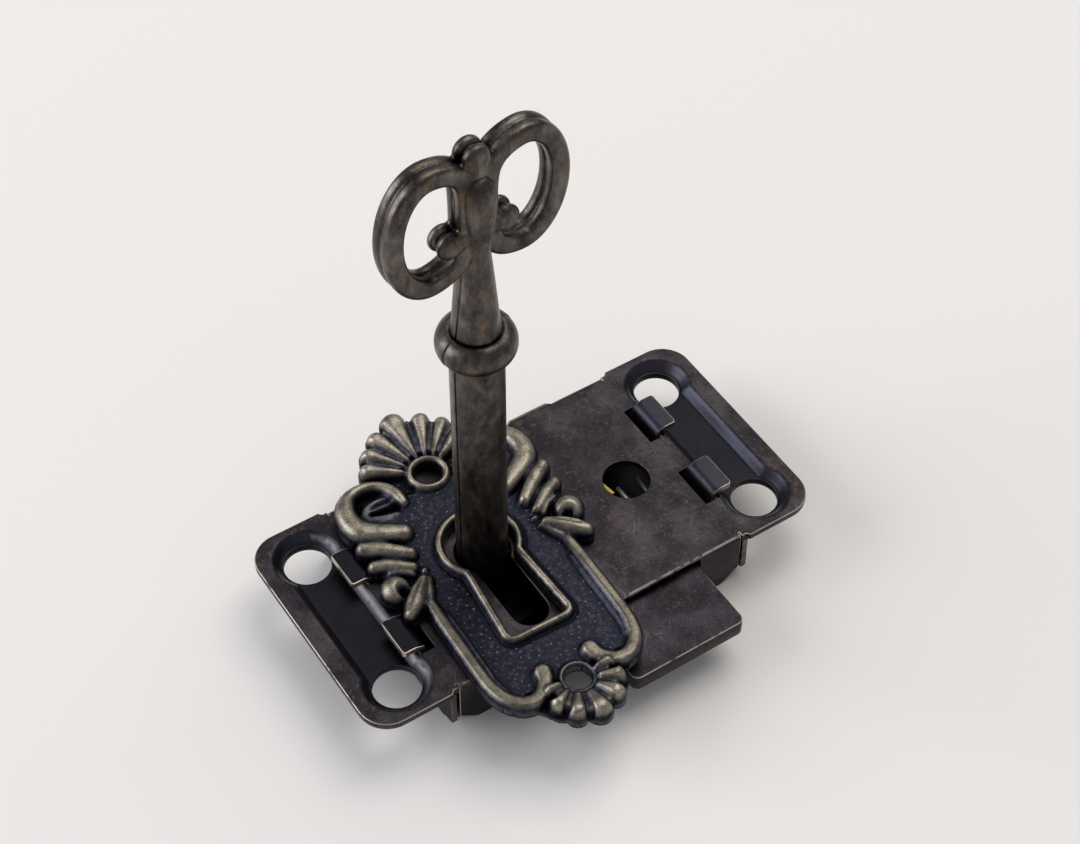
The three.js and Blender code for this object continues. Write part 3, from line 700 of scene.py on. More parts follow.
def distance_to(loops: Sequence[np.ndarray], points: np.ndarray) -> np.ndarray:
    """Measures how far points are from closed loops.

    Args:
        loops: The loops.
        points: An array of n by 2.

    Returns:
        Each point's distance to the nearest loop.
    """
    nearest = np.full(len(points), np.inf)
    for loop in loops:
        for a, b in zip(loop, np.roll(loop, -1, 0)):
            side = b - a
            along = np.clip((points - a) @ side / max(side @ side, 1e-12), 0, 1)
            nearest = np.minimum(nearest, np.linalg.norm(points - a - along[:, None] * side, axis=1))
    return nearest


def rounded_box(x: np.ndarray, y: np.ndarray, half_x: float, half_y: float, corner: float) -> np.ndarray:
    """Measures how far places are outside a rounded rectangle about the origin.

    Args:
        x: Places across.
        y: Places along.
        half_x: Half the rectangle's width.
        half_y: Half its height.
        corner: Its corners' radius.

    Returns:
        Signed distances, negative inside.
    """
    over_x = np.abs(x) - half_x + corner
    over_y = np.abs(y) - half_y + corner
    outside = np.hypot(np.maximum(over_x, 0), np.maximum(over_y, 0))
    return outside + np.minimum(np.maximum(over_x, over_y), 0) - corner


def filled(points: np.ndarray, walls: np.ndarray) -> tuple[np.ndarray, np.ndarray, np.ndarray]:
    """Triangulates the area that closed walls bound.

    Args:
        points: Points in the plane.
        walls: Pairs of point numbers, each an edge with the area on its left.

    Returns:
        The points as triangulated, the anticlockwise triangles, and each given point's new number.
    """
    made = geometry.delaunay_2d_cdt([Vector(p) for p in points], walls.tolist(), [], 0, 1e-6)
    home = np.zeros(len(points), int)
    for new, olds in enumerate(made[3]):
        home[olds] = new
    faces = made[2]
    sides = {(face[k - 1], face[k]): n for n, face in enumerate(faces) for k in range(3)}
    fixed = {(int(i), int(j)) for i, j in home[walls] if i != j}
    todo = [sides[wall] for wall in fixed if wall in sides]
    kept = set(todo)
    while todo:
        face = faces[todo.pop()]
        for k in range(3):
            side = (face[k - 1], face[k])
            other = sides.get(side[::-1])
            if side not in fixed and other is not None and other not in kept:
                kept.add(other)
                todo.append(other)
    return np.array([tuple(v) for v in made[0]]), np.array([faces[n] for n in sorted(kept)]), home


@dataclass
class SheetBlank:
    """A stamped blank that is bent to shape: an outline with holes, and rounded edges.

    Loops keep the material on their left: the outline anticlockwise, the holes clockwise.
    """

    outline: list[Point]
    holes: list[list[Point]]
    thickness: float
    upper_round: float = 0.14
    lower_round: float = 0.08
    side_wear: float = 0.2
    step: float = 0.6
    extra: list[Point] = field(default_factory=list)
    hole_wear: float = 0.5
    margin: float = 0.1
    clearance: float = 0.2

    def inset(self, loop: np.ndarray, distance: float) -> np.ndarray:
        """Moves a loop into the material, and closes up what would fold back.

        Args:
            loop: The loop.
            distance: How far.

        Returns:
            The moved loop.
        """
        ahead = np.roll(loop, -1, 0) - loop
        ahead /= np.linalg.norm(ahead, axis=1)[:, None]
        behind = np.roll(ahead, 1, 0)
        left = np.stack([-(ahead + behind)[:, 1], (ahead + behind)[:, 0]], 1)
        length = np.linalg.norm(left, axis=1)
        left /= length[:, None]
        stretch = np.minimum(2 / np.maximum(length, 1e-6), 1.5)
        moved = loop + left * distance * stretch[:, None]
        for _ in range(12):
            back = ((np.roll(moved, -1, 0) - moved) * ahead).sum(1) < -1e-9
            for i in np.flatnonzero(back):
                j = (i + 1) % len(moved)
                moved[i] = moved[j] = (moved[i] + moved[j]) / 2
        return moved

    def rings(self) -> list[tuple[float, float, float]]:
        """Lists the rings of points that round an edge off, from top to bottom.

        Returns:
            How far in, how deep and how worn each one is.
        """
        upper, lower, side = self.upper_round, self.lower_round, self.side_wear
        rings = [(upper + self.margin / 2, 0.0, 0.35)]
        for turn, wear in ((0, 0.4), (30, 1.0), (60, 1.0), (90, side)):
            bend = math.radians(turn)
            rings.append((upper * (1 - math.sin(bend)), upper * (1 - math.cos(bend)), wear))
        for turn in (0, 45, 90):
            bend = math.radians(turn)
            deep = self.thickness - lower * (1 - math.sin(bend))
            rings.append((lower * (1 - math.cos(bend)), deep, side))
        return rings

    def piece(
        self,
        name: str,
        place: Place,
        finish: Finish,
        pressed: Callable[..., np.ndarray] = lambda x, y: np.zeros(len(x)),
        rubbed: Callable[..., np.ndarray] = lambda x, y, wear: wear,
    ) -> bpy.types.Object:
        """Builds the bent sheet.

        Args:
            name: The piece's name.
            place: Where a point of the blank goes: x, y and the depth below its upper face.
            finish: Its finish.
            pressed: How deep, from 0 to 1, a point lies in a pressed floor, or for the cover the share of
                painted shade; where it is halfway the finish paints a blue-grey sheen.
            rubbed: Changes the share by which a point is worn, from where it lies; for the face plate it also
                adds a painted highlight on one slope.

        Returns:
            The new piece.
        """
        loops = [stepped(loop, self.step) for loop in [self.outline, *self.holes]]
        inner = [self.inset(loop, self.upper_round + self.margin) for loop in loops]
        sizes = [len(loop) for loop in loops]
        ends = np.cumsum([0, *sizes])
        here = np.arange(ends[-1])
        ahead = np.concatenate([np.roll(here[a:b], -1) for a, b in zip(ends, ends[1:])])
        extra = np.array(self.extra).reshape(-1, 2)
        if len(extra):
            extra = extra[inside(inner, extra)]
            extra = extra[distance_to(inner, extra) > self.clearance]
        flat, triangles, home = filled(np.concatenate([*inner, extra]), np.stack([here, ahead], 1))
        shares = np.repeat([1.0] + [self.hole_wear] * len(self.holes), sizes)
        layers = [(flat, np.zeros(len(flat)), np.zeros(len(flat)))]
        numbers = [home[here]]
        total = len(flat)
        for distance, below, wear in self.rings():
            ring = np.concatenate([self.inset(loop, distance) for loop in loops])
            layers.append((ring, np.full(len(ring), below), wear * shares))
            numbers.append(total + here)
            total += len(ring)
        layers.append((flat, np.full(len(flat), self.thickness), np.zeros(len(flat))))
        numbers.append(total + home[here])
        faces = [*triangles, *(triangles[:, ::-1] + total)]
        for a, b in zip(numbers, numbers[1:]):
            faces += [*np.stack([a[ahead], a, b, b[ahead]], 1)]
        (x, y), below, wear = (np.concatenate(kind).T for kind in zip(*layers))
        return new_piece(
            name, place(x, y, below), faces, finish, edge=rubbed(x, y, wear), pressed=pressed(x, y)
        )


# Geometry Nodes


class NodeShape:
    """A Geometry Nodes tree with named sizes, and how a piece is grown from it."""

    def __init__(self, name: str) -> None:
        """Starts an empty tree.

        Args:
            name: The tree's name.
        """
        self.tree = bpy.data.node_groups.new(name, "GeometryNodeTree")
        for way in ("INPUT", "OUTPUT"):
            self.tree.interface.new_socket("Geometry", in_out=way, socket_type="NodeSocketGeometry")
        self.start = self.tree.nodes.new("NodeGroupInput")
        self.source = self.start.outputs[0]
        self.sockets: dict[str, str] = {}

    def size(self, name: str, kind: str = "NodeSocketFloat") -> Socket:
        """Adds a named input.

        Args:
            name: The input's name.
            kind: The socket's type.

        Returns:
            The socket to link from.
        """
        item = self.tree.interface.new_socket(name, in_out="INPUT", socket_type=kind)
        self.sockets[name] = item.identifier
        return self.start.outputs[name]

    def add(self, kind: str, settings: dict[str, Any] | None = None, **inputs: Any) -> Socket:
        """Adds a node and returns its first output. Underscores in inputs' names stand for spaces."""
        named = {label.replace("_", " "): value for label, value in inputs.items()}
        return add_node(self.tree, "GeometryNode" + kind, settings, named).outputs[0]

    def end(self, result: Socket, finish: Finish) -> None:
        """Ends the tree in real geometry.

        Args:
            result: The geometry so far.
            finish: The finish that it gets.
        """
        real = self.add("RealizeInstances", Geometry=result)
        dressed = self.add("SetMaterial", Geometry=real, Material=finish.material())
        add_node(self.tree, "NodeGroupOutput", inputs={0: dressed})

    def grow(
        self, name: str, points: Sequence[Sequence[float]], faces: Sequence[Sequence[int]], **sizes: Any
    ) -> bpy.types.Object:
        """Runs the tree on a mesh and keeps the result as a plain piece.

        Args:
            name: The piece's name.
            points: The source mesh's points in millimetres.
            faces: Its faces, or pairs for its edges.
            **sizes: The inputs' values by name, with spaces as underscores.

        Returns:
            The plain piece.
        """
        mesh = bpy.data.meshes.new(name)
        pairs = [f for f in faces if len(f) == 2]
        mesh.from_pydata((np.asarray(points, float) * MM).tolist(), pairs, [f for f in faces if len(f) > 2])
        source = new_object(name + "_source", mesh)
        modifier = source.modifiers.new("shape", "NODES")
        modifier.node_group = self.tree
        for label, value in sizes.items():
            modifier[self.sockets[label.replace("_", " ")]] = value
        return evaluated(source, name)


class RivetShape(NodeShape):
    """A hammered rivet end on each point."""

    def __init__(self) -> None:
        """Builds the tree: a low dome on a short shank."""
        super().__init__("rivet_ends")
        radius, height = self.size("Radius"), self.size("Height")
        shank = self.add("MeshCylinder", Vertices=20, Radius=radius, Depth=height)
        ball = self.add("MeshUVSphere", Segments=20, Rings=10, Radius=radius)
        dome = self.add("Transform", Geometry=ball, Scale=(1, 1, 0.16))
        rivet = self.add("JoinGeometry", Geometry=[shank, dome])
        self.end(self.add("InstanceOnPoints", Points=self.source, Instance=rivet), BRIGHT_STEEL)


class WireShape(NodeShape):
    """A round steel wire that follows a line of edges."""

    def __init__(self) -> None:
        """Builds the tree: a line swept by a circle."""
        super().__init__("bent_wire")
        line = self.add("MeshToCurve", Mesh=self.source)
        section = self.add("CurvePrimitiveCircle", Resolution=16, Radius=self.size("Radius"))
        wire = self.add("CurveToMesh", Curve=line, Profile_Curve=section, Fill_Caps=True)
        self.end(wire, BRIGHT_STEEL)


class BeadRingShape(NodeShape):
    """Two squarish beads side by side that follow closed lines, as the loops of the key's bow do."""

    def __init__(self) -> None:
        """Builds the tree: lines drawn flat, swept by a bead twice, and stood upright."""
        super().__init__("two_bead_ring")
        line = self.add("MeshToCurve", Mesh=self.source)
        wide, deep = self.size("Bead Width"), self.size("Bead Depth")
        block = self.add("CurvePrimitiveQuadrilateral", Width=wide, Height=deep)
        poly = {"mode": "POLY"}
        section = self.add("FilletCurve", poly, Curve=block, Radius=self.size("Corner"), Count=6)
        ring = self.add("CurveToMesh", Curve=line, Profile_Curve=section)
        spread = self.size("Spread")
        beads = []
        for side in (1.0, -1.0):
            offset = add_node(
                self.tree, "ShaderNodeMath", {"operation": "MULTIPLY"}, {0: spread, 1: side}
            ).outputs[0]
            where = add_node(self.tree, "ShaderNodeCombineXYZ", inputs={"Z": offset}).outputs[0]
            beads.append(self.add("Transform", Geometry=ring, Translation=where))
        pair = self.add("JoinGeometry", Geometry=beads)
        self.end(self.add("Transform", Geometry=pair, Rotation=(QUARTER, 0, 0)), KEY_METAL)


class SpeckShape(NodeShape):
    """Small raised specks scattered over a face, none closer than a set spacing."""

    def __init__(self) -> None:
        """Builds the tree: low balls of varied size on scattered points."""
        super().__init__("stippled_specks")
        spacing, radius = self.size("Spacing"), self.size("Radius")
        seed = self.size("Seed", "NodeSocketInt")
        spots = self.add(
            "DistributePointsOnFaces",
            {"distribute_method": "POISSON"},
            Mesh=self.source, Distance_Min=spacing, Density_Max=4e6, Seed=seed,
        )
        ball = self.add("MeshIcoSphere", Radius=radius, Subdivisions=2)
        low = self.add("Transform", Geometry=ball, Scale=(1, 1, 0.7))
        numbers = {"data_type": "FLOAT"}
        vary = add_node(
            self.tree, "FunctionNodeRandomValue", numbers, {2: 0.55, 3: 1.25, "Seed": seed}
        ).outputs[1]
        specks = self.add("InstanceOnPoints", Points=spots, Instance=low, Scale=vary)
        self.end(self.add("SetShadeSmooth", Geometry=specks), SPECK_POINTS_PAINTED_GLINT)


# The case


def circle(middle: Point, radius: float, points: int) -> list[Point]:
    """Returns a circle of so many points, clockwise as holes are."""
    return arc(middle, radius, 360, 360 / points, points - 1)


def bend_rows(start: float, radius: float) -> list[float]:
    """Returns the rows of a blank that a quarter bend needs, from where it starts."""
    return [start + radius * QUARTER * i / 8 for i in range(9)]


def runs(*spans: tuple[float, float, float]) -> np.ndarray:
    """Returns the places in several spans of start, end and step."""
    return np.concatenate([np.arange(*span) for span in spans])


@dataclass
class Case:
    """The face plate, the cover that closes it, and what they hold."""

    depth: float = 8.4
    sheet: float = 1.0
    half_length: float = 33.0
    side: float = 16.04
    flange_side: float = 16.49
    flange_start: float = 21.8
    flange_slope: float = 0.4
    corner: float = 4.0
    bend: float = 0.55
    inner_bend: float = 0.12
    wall_end: float = 21.1
    wall_foot: float = 0.15
    wall_run: float = 2.5
    wall_rise: float = 1.9
    recess: float = 1.4
    recess_slope: float = 1.45
    recess_middle: float = 26.65
    recess_half_x: float = 4.0
    recess_half_y: float = 14.7
    screw: tuple[float, float] = (26.9, 11.0)
    screw_radius: float = 3.05
    sight: tuple[float, float] = (14.1, -0.4)
    sight_radius: float = 3.1
    key_x: float = -7.7
    slot_half: float = 2.45
    slot_end: float = -13.3
    tab_y: float = 6.2
    tab_half: float = 2.8
    slot_x: tuple[float, float] = (20.4, 22.6)
    lug: tuple[float, float] = (6.5, 12.9)
    bolt_gap: tuple[float, float] = (-2.5, 14.7)
    bolt_z: tuple[float, float] = (4.3, 8.0)
    cover_sheet: float = 0.85
    cover_x: float = 22.3
    cover_y: float = 14.74
    cover_wall_y: float = 13.89
    cover_wall_reach: float = 15.98
    tab_reach: float = 24.6
    rivets: tuple[Point, ...] = (
        (-7.7, 0), (7.9, 1.49), (0.6, -13.19), (13.0, -13.19), (12.6, 11.29), (16.25, -7.5), (19.85, -1),
    )
    rivet_radius: float = 1.02
    rivet_gap: float = 0.06
    rivet_z: float = 0.45
    rivet_height: float = 0.5
    recess_corner: float = 3.2
    screw_land: float = 0.1
    keyhole: float = 3.6
    play: float = 0.3
    notch: Point = (0.06, 0.05)
    fold_line: float = 0.22
    lug_ramp: float = 0.4
    lug_height: float = 0.5
    lip_ends: Point = (0.6, 0.3)
    lip_step: float = 0.45
    lip_torn: Point = (3.5, 10.8)
    lip_rag: Point = (0.04, 0.6)
    cover_bend: float = 1.0
    tab_bend: float = 0.35
    shoulder: Point = (0.2, 0.5)
    wire_radius: float = 0.45

    def recess_depth(self, x: np.ndarray, y: np.ndarray) -> np.ndarray:
        """Tells how far, from 0 to 1, points of the plate lie down in its pressed panels.

        Args:
            x: Places along the plate.
            y: Places across it.

        Returns:
            The shares.
        """
        half = (self.recess_half_x, self.recess_half_y)
        away = rounded_box(np.abs(x) - self.recess_middle, y, *half, self.recess_corner)
        hole = np.hypot(np.abs(x) - self.screw[0], np.abs(y) - self.screw[1])
        away = np.minimum(away, hole - self.screw_radius - self.recess_slope - self.screw_land)
        return smooth_step(-away / self.recess_slope)

    def face_wear_and_highlight(self, x: np.ndarray, y: np.ndarray, wear: np.ndarray) -> np.ndarray:
        """How much of the bright edge colour, from 0 to 1, the face plate gets: its worn edges, a line along
        its two folds, and a painted highlight on the left panel's inner slope, which faces the lamp.

        Args:
            x: Places along the blank.
            y: Places across it.
            wear: The edges' own wear.

        Returns:
            The shares.
        """
        middle = self.side - self.bend + self.bend * math.pi / 5
        fold = np.exp(-(((np.abs(y) - middle) / self.fold_line) ** 2)) * (np.abs(x) < self.wall_end)
        floor = self.recess_depth(x, y)
        # A painted highlight on the left panel's inner slope, which faces the lamp on the left.
        slope = 4 * floor * (1 - floor) * (x < 0) * (x > self.recess_half_x / 2 - self.recess_middle)
        return np.maximum(np.maximum(wear, fold), 0.65 * slope)

    def cover_wear(self, x: np.ndarray, y: np.ndarray, wear: np.ndarray) -> np.ndarray:
        """Returns how worn the cover is: its end walls less than the tabs over the plate."""
        tabs = smooth_step((np.abs(x) - 30) / 1.5)
        return wear * (0.58 + tabs * np.where(x < 0, 0.42, 0.14))

    def cover_painted_shade_and_sheen(self, x: np.ndarray, y: np.ndarray) -> np.ndarray:
        """Returns the cover's share of painted shade: a blue-black for the dark inside of the case and the
        dark reflection on its tabs, a little less at its right end, which leaves a painted blue sheen there.
        """
        return np.where(x > 0, 0.84, 1.0)

    def place_face(self, x: np.ndarray, y: np.ndarray, below: np.ndarray) -> np.ndarray:
        """Bends and presses the face plate's blank.

        Args:
            x: Places along the blank.
            y: Places across it.
            below: Depth below its upper face.

        Returns:
            Points of n by 3.
        """
        start = self.side - self.bend
        past = np.abs(y) - start
        turn = np.clip(past / self.bend, 0, QUARTER)
        straight = np.maximum(past - self.bend * QUARTER, 0)
        folded = (np.abs(x) < self.wall_end + self.notch[0] / 2) & (past > -self.sheet)
        share = below / self.sheet
        radius = self.bend * (1 - share) + self.inner_bend * share
        pulled = below + radius - self.bend
        ramp, (left, right) = self.lug_ramp, self.lug
        lug = smooth_step((x - left + ramp / 2) / ramp) * smooth_step((right + ramp / 2 - x) / ramp)
        proud = (y > 0) * lug * smooth_step(turn / 0.5) * (1 - smooth_step(straight / 1.2 - 0.4))
        before = np.clip(1 + past / self.sheet, 0, 1)
        after = np.clip(1 - straight / self.sheet, 0, 1)
        out_y = np.where(past < 0, np.abs(y) - pulled * before, start - pulled + radius * np.sin(turn))
        out_z = self.depth - self.bend + radius * np.cos(turn) - straight - pulled * after
        out_z = np.where(past < 0, self.depth - below, out_z)
        flat_z = self.depth - below - self.recess * self.recess_depth(x, y)
        out_y = np.sign(y) * (out_y + self.lug_height * proud)
        return np.stack([x, np.where(folded, out_y, y), np.where(folded, out_z, flat_z)], 1)

    def down(self, z: float) -> float:
        """Returns how far across the blank a height of the folded wall lies."""
        return self.side - self.bend + self.bend * QUARTER + self.depth - self.bend - z

    def bolt_opening(self) -> list[Point]:
        """Outlines the opening that the bolt comes out of, with its ragged upper lip.

        Returns:
            The hole's loop.
        """
        low, top = (-self.down(z) for z in self.bolt_z)
        left, right = self.bolt_gap
        chance = np.random.default_rng(7)
        lip = []
        for x in np.arange(left + self.lip_ends[0], right - self.lip_ends[1], self.lip_step):
            torn = self.lip_torn[0] < x < self.lip_torn[1]
            lip.append((float(x), top - float(chance.uniform(0, self.lip_rag[torn]))))
        return [(left, low), (left, top), *lip, (right, top), (right, low)]

    def face_blank(self) -> SheetBlank:
        """Lays out the face plate.

        Returns:
            The blank with its holes.
        """
        start = self.side - self.bend
        foot = self.down(self.wall_foot)
        half, flange, corner = self.half_length, self.flange_side, self.corner
        quarter = [
            (self.wall_end - self.wall_run, foot),
            (self.wall_end, foot - self.wall_rise),
            (self.wall_end, start - self.notch[1]),
            (self.wall_end + self.notch[0], start - self.notch[1]),
            (self.wall_end + self.notch[0], self.side),
            (self.flange_start, self.side),
            (self.flange_start + self.flange_slope, flange),
            *arc((half - corner, flange - corner), corner, 90, 0, 12),
        ]
        right_half = [(x, -y) for x, y in quarter] + quarter[::-1]
        outline = right_half + [(-x, y) for x, y in right_half[::-1]]
        signs = [(sx, sy) for sx in (-1, 1) for sy in (-1, 1)]
        holes = [circle(self.sight, self.sight_radius, 48)]
        reach = self.tab_half + self.play
        for sx, sy in signs:
            holes.append(circle((sx * self.screw[0], sy * self.screw[1]), self.screw_radius, 48))
            left, right = sorted(sx * edge for edge in self.slot_x)
            low, high = sy * self.tab_y - reach, sy * self.tab_y + reach
            holes.append([(left, low), (left, high), (right, high), (right, low)])
        neck = math.degrees(math.acos(self.slot_half / self.keyhole))
        keyhole = arc((self.key_x, 0), self.keyhole, 180 + neck, -neck, 36)
        keyhole += arc((self.key_x, self.slot_end + self.slot_half), self.slot_half, 0, -180, 18)
        holes += [keyhole, self.bolt_opening()]
        folds = bend_rows(start, self.bend)
        folds += [start - self.sheet, start - self.sheet / 2, folds[-1] + self.sheet]
        extra = row_points(np.arange(-20.5, 20.6, 0.7), both(folds))
        across = runs((22.3, 24.6, 0.2), (24.6, 28.7, 0.75), (28.7, 31.2, 0.2))
        along = runs((-15.4, -12.4, 0.2), (-12.4, 12.5, 0.5), (12.5, 15.5, 0.2))
        extra += row_points(both(across), along)
        for sx, sy in signs:
            for past in (0.5, 0.8, 1.1, 1.4, 1.7):
                middle = (sx * self.screw[0], sy * self.screw[1])
                extra += arc(middle, self.screw_radius + past, 0, 352, 44)
        extra += row_points(np.arange(-20, 20.1, 2.5), np.arange(-13, 13.1, 2.5))
        return SheetBlank(outline, holes, self.sheet, step=0.5, extra=extra)

    def place_cover(self, x: np.ndarray, y: np.ndarray, below: np.ndarray) -> np.ndarray:
        """Folds the cover's end walls up and its tabs outwards.

        Args:
            x: Places along the blank.
            y: Places across it.
            below: Depth from its outer face inwards.

        Returns:
            Points of n by 3.
        """
        first, second = self.cover_bend, self.tab_bend
        start = self.cover_x - first
        past = np.maximum(np.abs(x) - start, 0)
        turn = np.clip(past / first, 0, QUARTER)
        up = np.maximum(past - first * QUARTER, 0)
        lift = self.depth + self.play - second
        rise = lift - first
        out = np.maximum(up - rise, 0)
        turn_out = np.clip(out / second, 0, QUARTER)
        along = np.maximum(out - second * QUARTER, 0)
        flat_x = np.minimum(np.abs(x), start) + (first - below) * np.sin(turn)
        flat_z = first - (first - below) * np.cos(turn) + np.minimum(up, rise)
        tab_x = self.cover_x + second - (second + below) * np.cos(turn_out) + along
        tab_z = lift + (second + below) * np.sin(turn_out)
        side = np.where(x < 0, -1.0, 1.0)
        return np.stack([side * np.where(out > 0, tab_x, flat_x), y, np.where(out > 0, tab_z, flat_z)], 1)

    def cover_blank(self) -> SheetBlank:
        """Lays out the cover: the panel, two end walls and four tabs.

        Returns:
            The blank with its holes.
        """
        first, second, cut = self.cover_bend, self.tab_bend, self.play
        start = self.cover_x - first
        foot = start + first * QUARTER
        wall = foot + self.depth - self.sheet - self.play - first
        over = foot + self.depth + self.play - second - first
        tip = over + second * QUARTER + (self.tab_reach - self.cover_x - second)
        low, high = self.tab_y - self.tab_half, self.tab_y + self.tab_half
        upper = [
            (start - cut, self.cover_y),
            (start, self.cover_y - cut),
            (start, self.cover_wall_y),
            (foot + self.shoulder[0], self.cover_wall_y),
            (foot + self.shoulder[1], self.cover_wall_reach),
            (wall, self.cover_wall_reach),
            (wall, high),
            (tip - cut, high),
            (tip, high - cut),
            (tip, low + cut),
            (tip - cut, low),
            (wall, low),
        ]
        right_half = [(x, -y) for x, y in upper] + upper[::-1]
        outline = right_half + [(-x, -y) for x, y in right_half]
        holes = [circle(middle, self.rivet_radius + self.rivet_gap, 24) for middle in self.rivets]
        bends = both(bend_rows(start, first) + bend_rows(over, second))
        extra = row_points(bends, np.arange(-15.5, 15.6, 0.5))
        extra += row_points(np.arange(-19, 19.1, 2.0), np.arange(-13, 13.1, 2.0))
        return SheetBlank(outline, holes, self.cover_sheet, 0.1, 0.1, 0.9, 0.5, extra)

    def build(self) -> None:
        """Makes the case's pieces and dresses what it holds."""
        plate = self.face_blank().piece(
            "front_plate_sheet", self.place_face, PLATE_SHEET, self.recess_depth, self.face_wear_and_highlight
        )
        settle(plate, Body.CASE, Slot.PLATED_STEEL, "front_plate")
        cover = self.cover_blank().piece(
            "back_cover_sheet", self.place_cover, COVER_SHEET, self.cover_painted_shade_and_sheen, self.cover_wear
        )
        settle(cover, Body.CASE, Slot.PLATED_STEEL, "back_cover")
        spots = [(x, y, self.rivet_z) for x, y in self.rivets]
        sizes = {"Radius": self.rivet_radius * MM, "Height": self.rivet_height * MM}
        settle(RivetShape().grow("rivet_ends", spots, [], **sizes), Body.CASE, Slot.BRIGHT_STEEL)
        for node in (
            "drill_pin", "bolt_guide_post", "bolt_rest_stud_left", "bolt_rest_stud_right",
            "lower_ward_ring", "upper_ward_ring", "leaf_anchor_post", "hairpin_post", "hairpin_stop",
        ):
            dress_node(node, DULL_STEEL)
        dress_node("leaf_spring", SPRING_BRASS)
        self.hairpin()

    def hairpin(self) -> None:
        """Makes the hairpin spring as one smoothly bent wire."""
        low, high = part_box("hairpin_spring")
        radius = self.wire_radius
        left, right = low.x / MM + radius, high.x / MM - radius
        middle, spread = (left + right) / 2, (right - left) / 2
        bottom, top, z = low.y / MM + radius + spread, high.y / MM, (low.z + high.z) / 2 / MM
        line = [(right, top - (top - bottom) * i / 12, z) for i in range(12)]
        line += [(x, y, z) for x, y in arc((middle, bottom), spread, 0, -180, 24)]
        line += [(left, bottom + (top - bottom) * i / 12, z) for i in range(1, 13)]
        steps = [(i, i + 1) for i in range(len(line) - 1)]
        wire = WireShape().grow("hairpin_wire", line, steps, Radius=radius * MM)
        wire.data.shade_smooth()
        settle(wire, Body.CASE, Slot.BRIGHT_STEEL, "hairpin_spring")


# The bolt


@dataclass
class Bolt:
    """The flat sliding bolt."""

    top: float = 7.0
    thickness: float = 2.4
    head: tuple[float, float] = (-2.2, 14.4)
    tip: float = -26.09
    corner: float = 1.0
    shoulder: float = -11.55
    body_right: float = 10.8
    root: float = 5.3
    mouth: float = -2.02
    tail: float = 4.59
    hook: float = 3.09
    guide: Point = (7.9, 1.49)
    guide_half: float = 1.5
    travel: float = 9.999

    def build(self) -> None:
        """Makes the bolt as a thick stamping."""
        low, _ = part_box("bolt")
        left, right = self.head
        corner, tip = self.corner, self.tip + self.corner
        mouth = max(low.x / MM, self.mouth)
        outline = [
            *arc((left + corner, tip), corner, 180, 270),
            *arc((right - corner, tip), corner, 270, 360),
            (right, self.shoulder),
            (self.body_right, self.shoulder),
            (self.body_right, self.tail),
            (mouth, self.tail),
            (mouth, self.hook),
            (self.root, self.hook),
            (self.root, self.shoulder),
            (left, self.shoulder),
        ]
        slot = arc(self.guide, self.guide_half, 180, 0, 16)
        slot += arc((self.guide[0], self.guide[1] - self.travel), self.guide_half, 0, -180, 16)
        extra = row_points(np.arange(-1.5, 14, 1.5), np.arange(-25, 4, 1.5))
        blank = SheetBlank(outline, [slot], self.thickness, 0.16, 0.12, 0.15, 0.6, extra)
        piece = blank.piece(
            "bolt_stamping", lambda x, y, below: np.stack([x, y, self.top - below], 1), BOLT_SHEET
        )
        settle(piece, Body.BOLT, Slot.PLATED_STEEL, "bolt")


# The key


def signed_power(value: float, power: float) -> float:
    """Raises a number's size to a power, and keeps its sign."""
    return math.copysign(abs(value) ** power, value)


def tube(rings: int, around: int, first: int = 0) -> list[tuple[int, ...]]:
    """Joins rings of points, which follow each other, by faces.

    Args:
        rings: How many rings there are.
        around: How many points a ring has.
        first: The first point's number.

    Returns:
        The faces.
    """
    faces = []
    for i in range(first, first + (rings - 1) * around, around):
        for k in range(around):
            n = (k + 1) % around
            faces.append((i + k, i + n, i + around + n, i + around + k))
    return faces


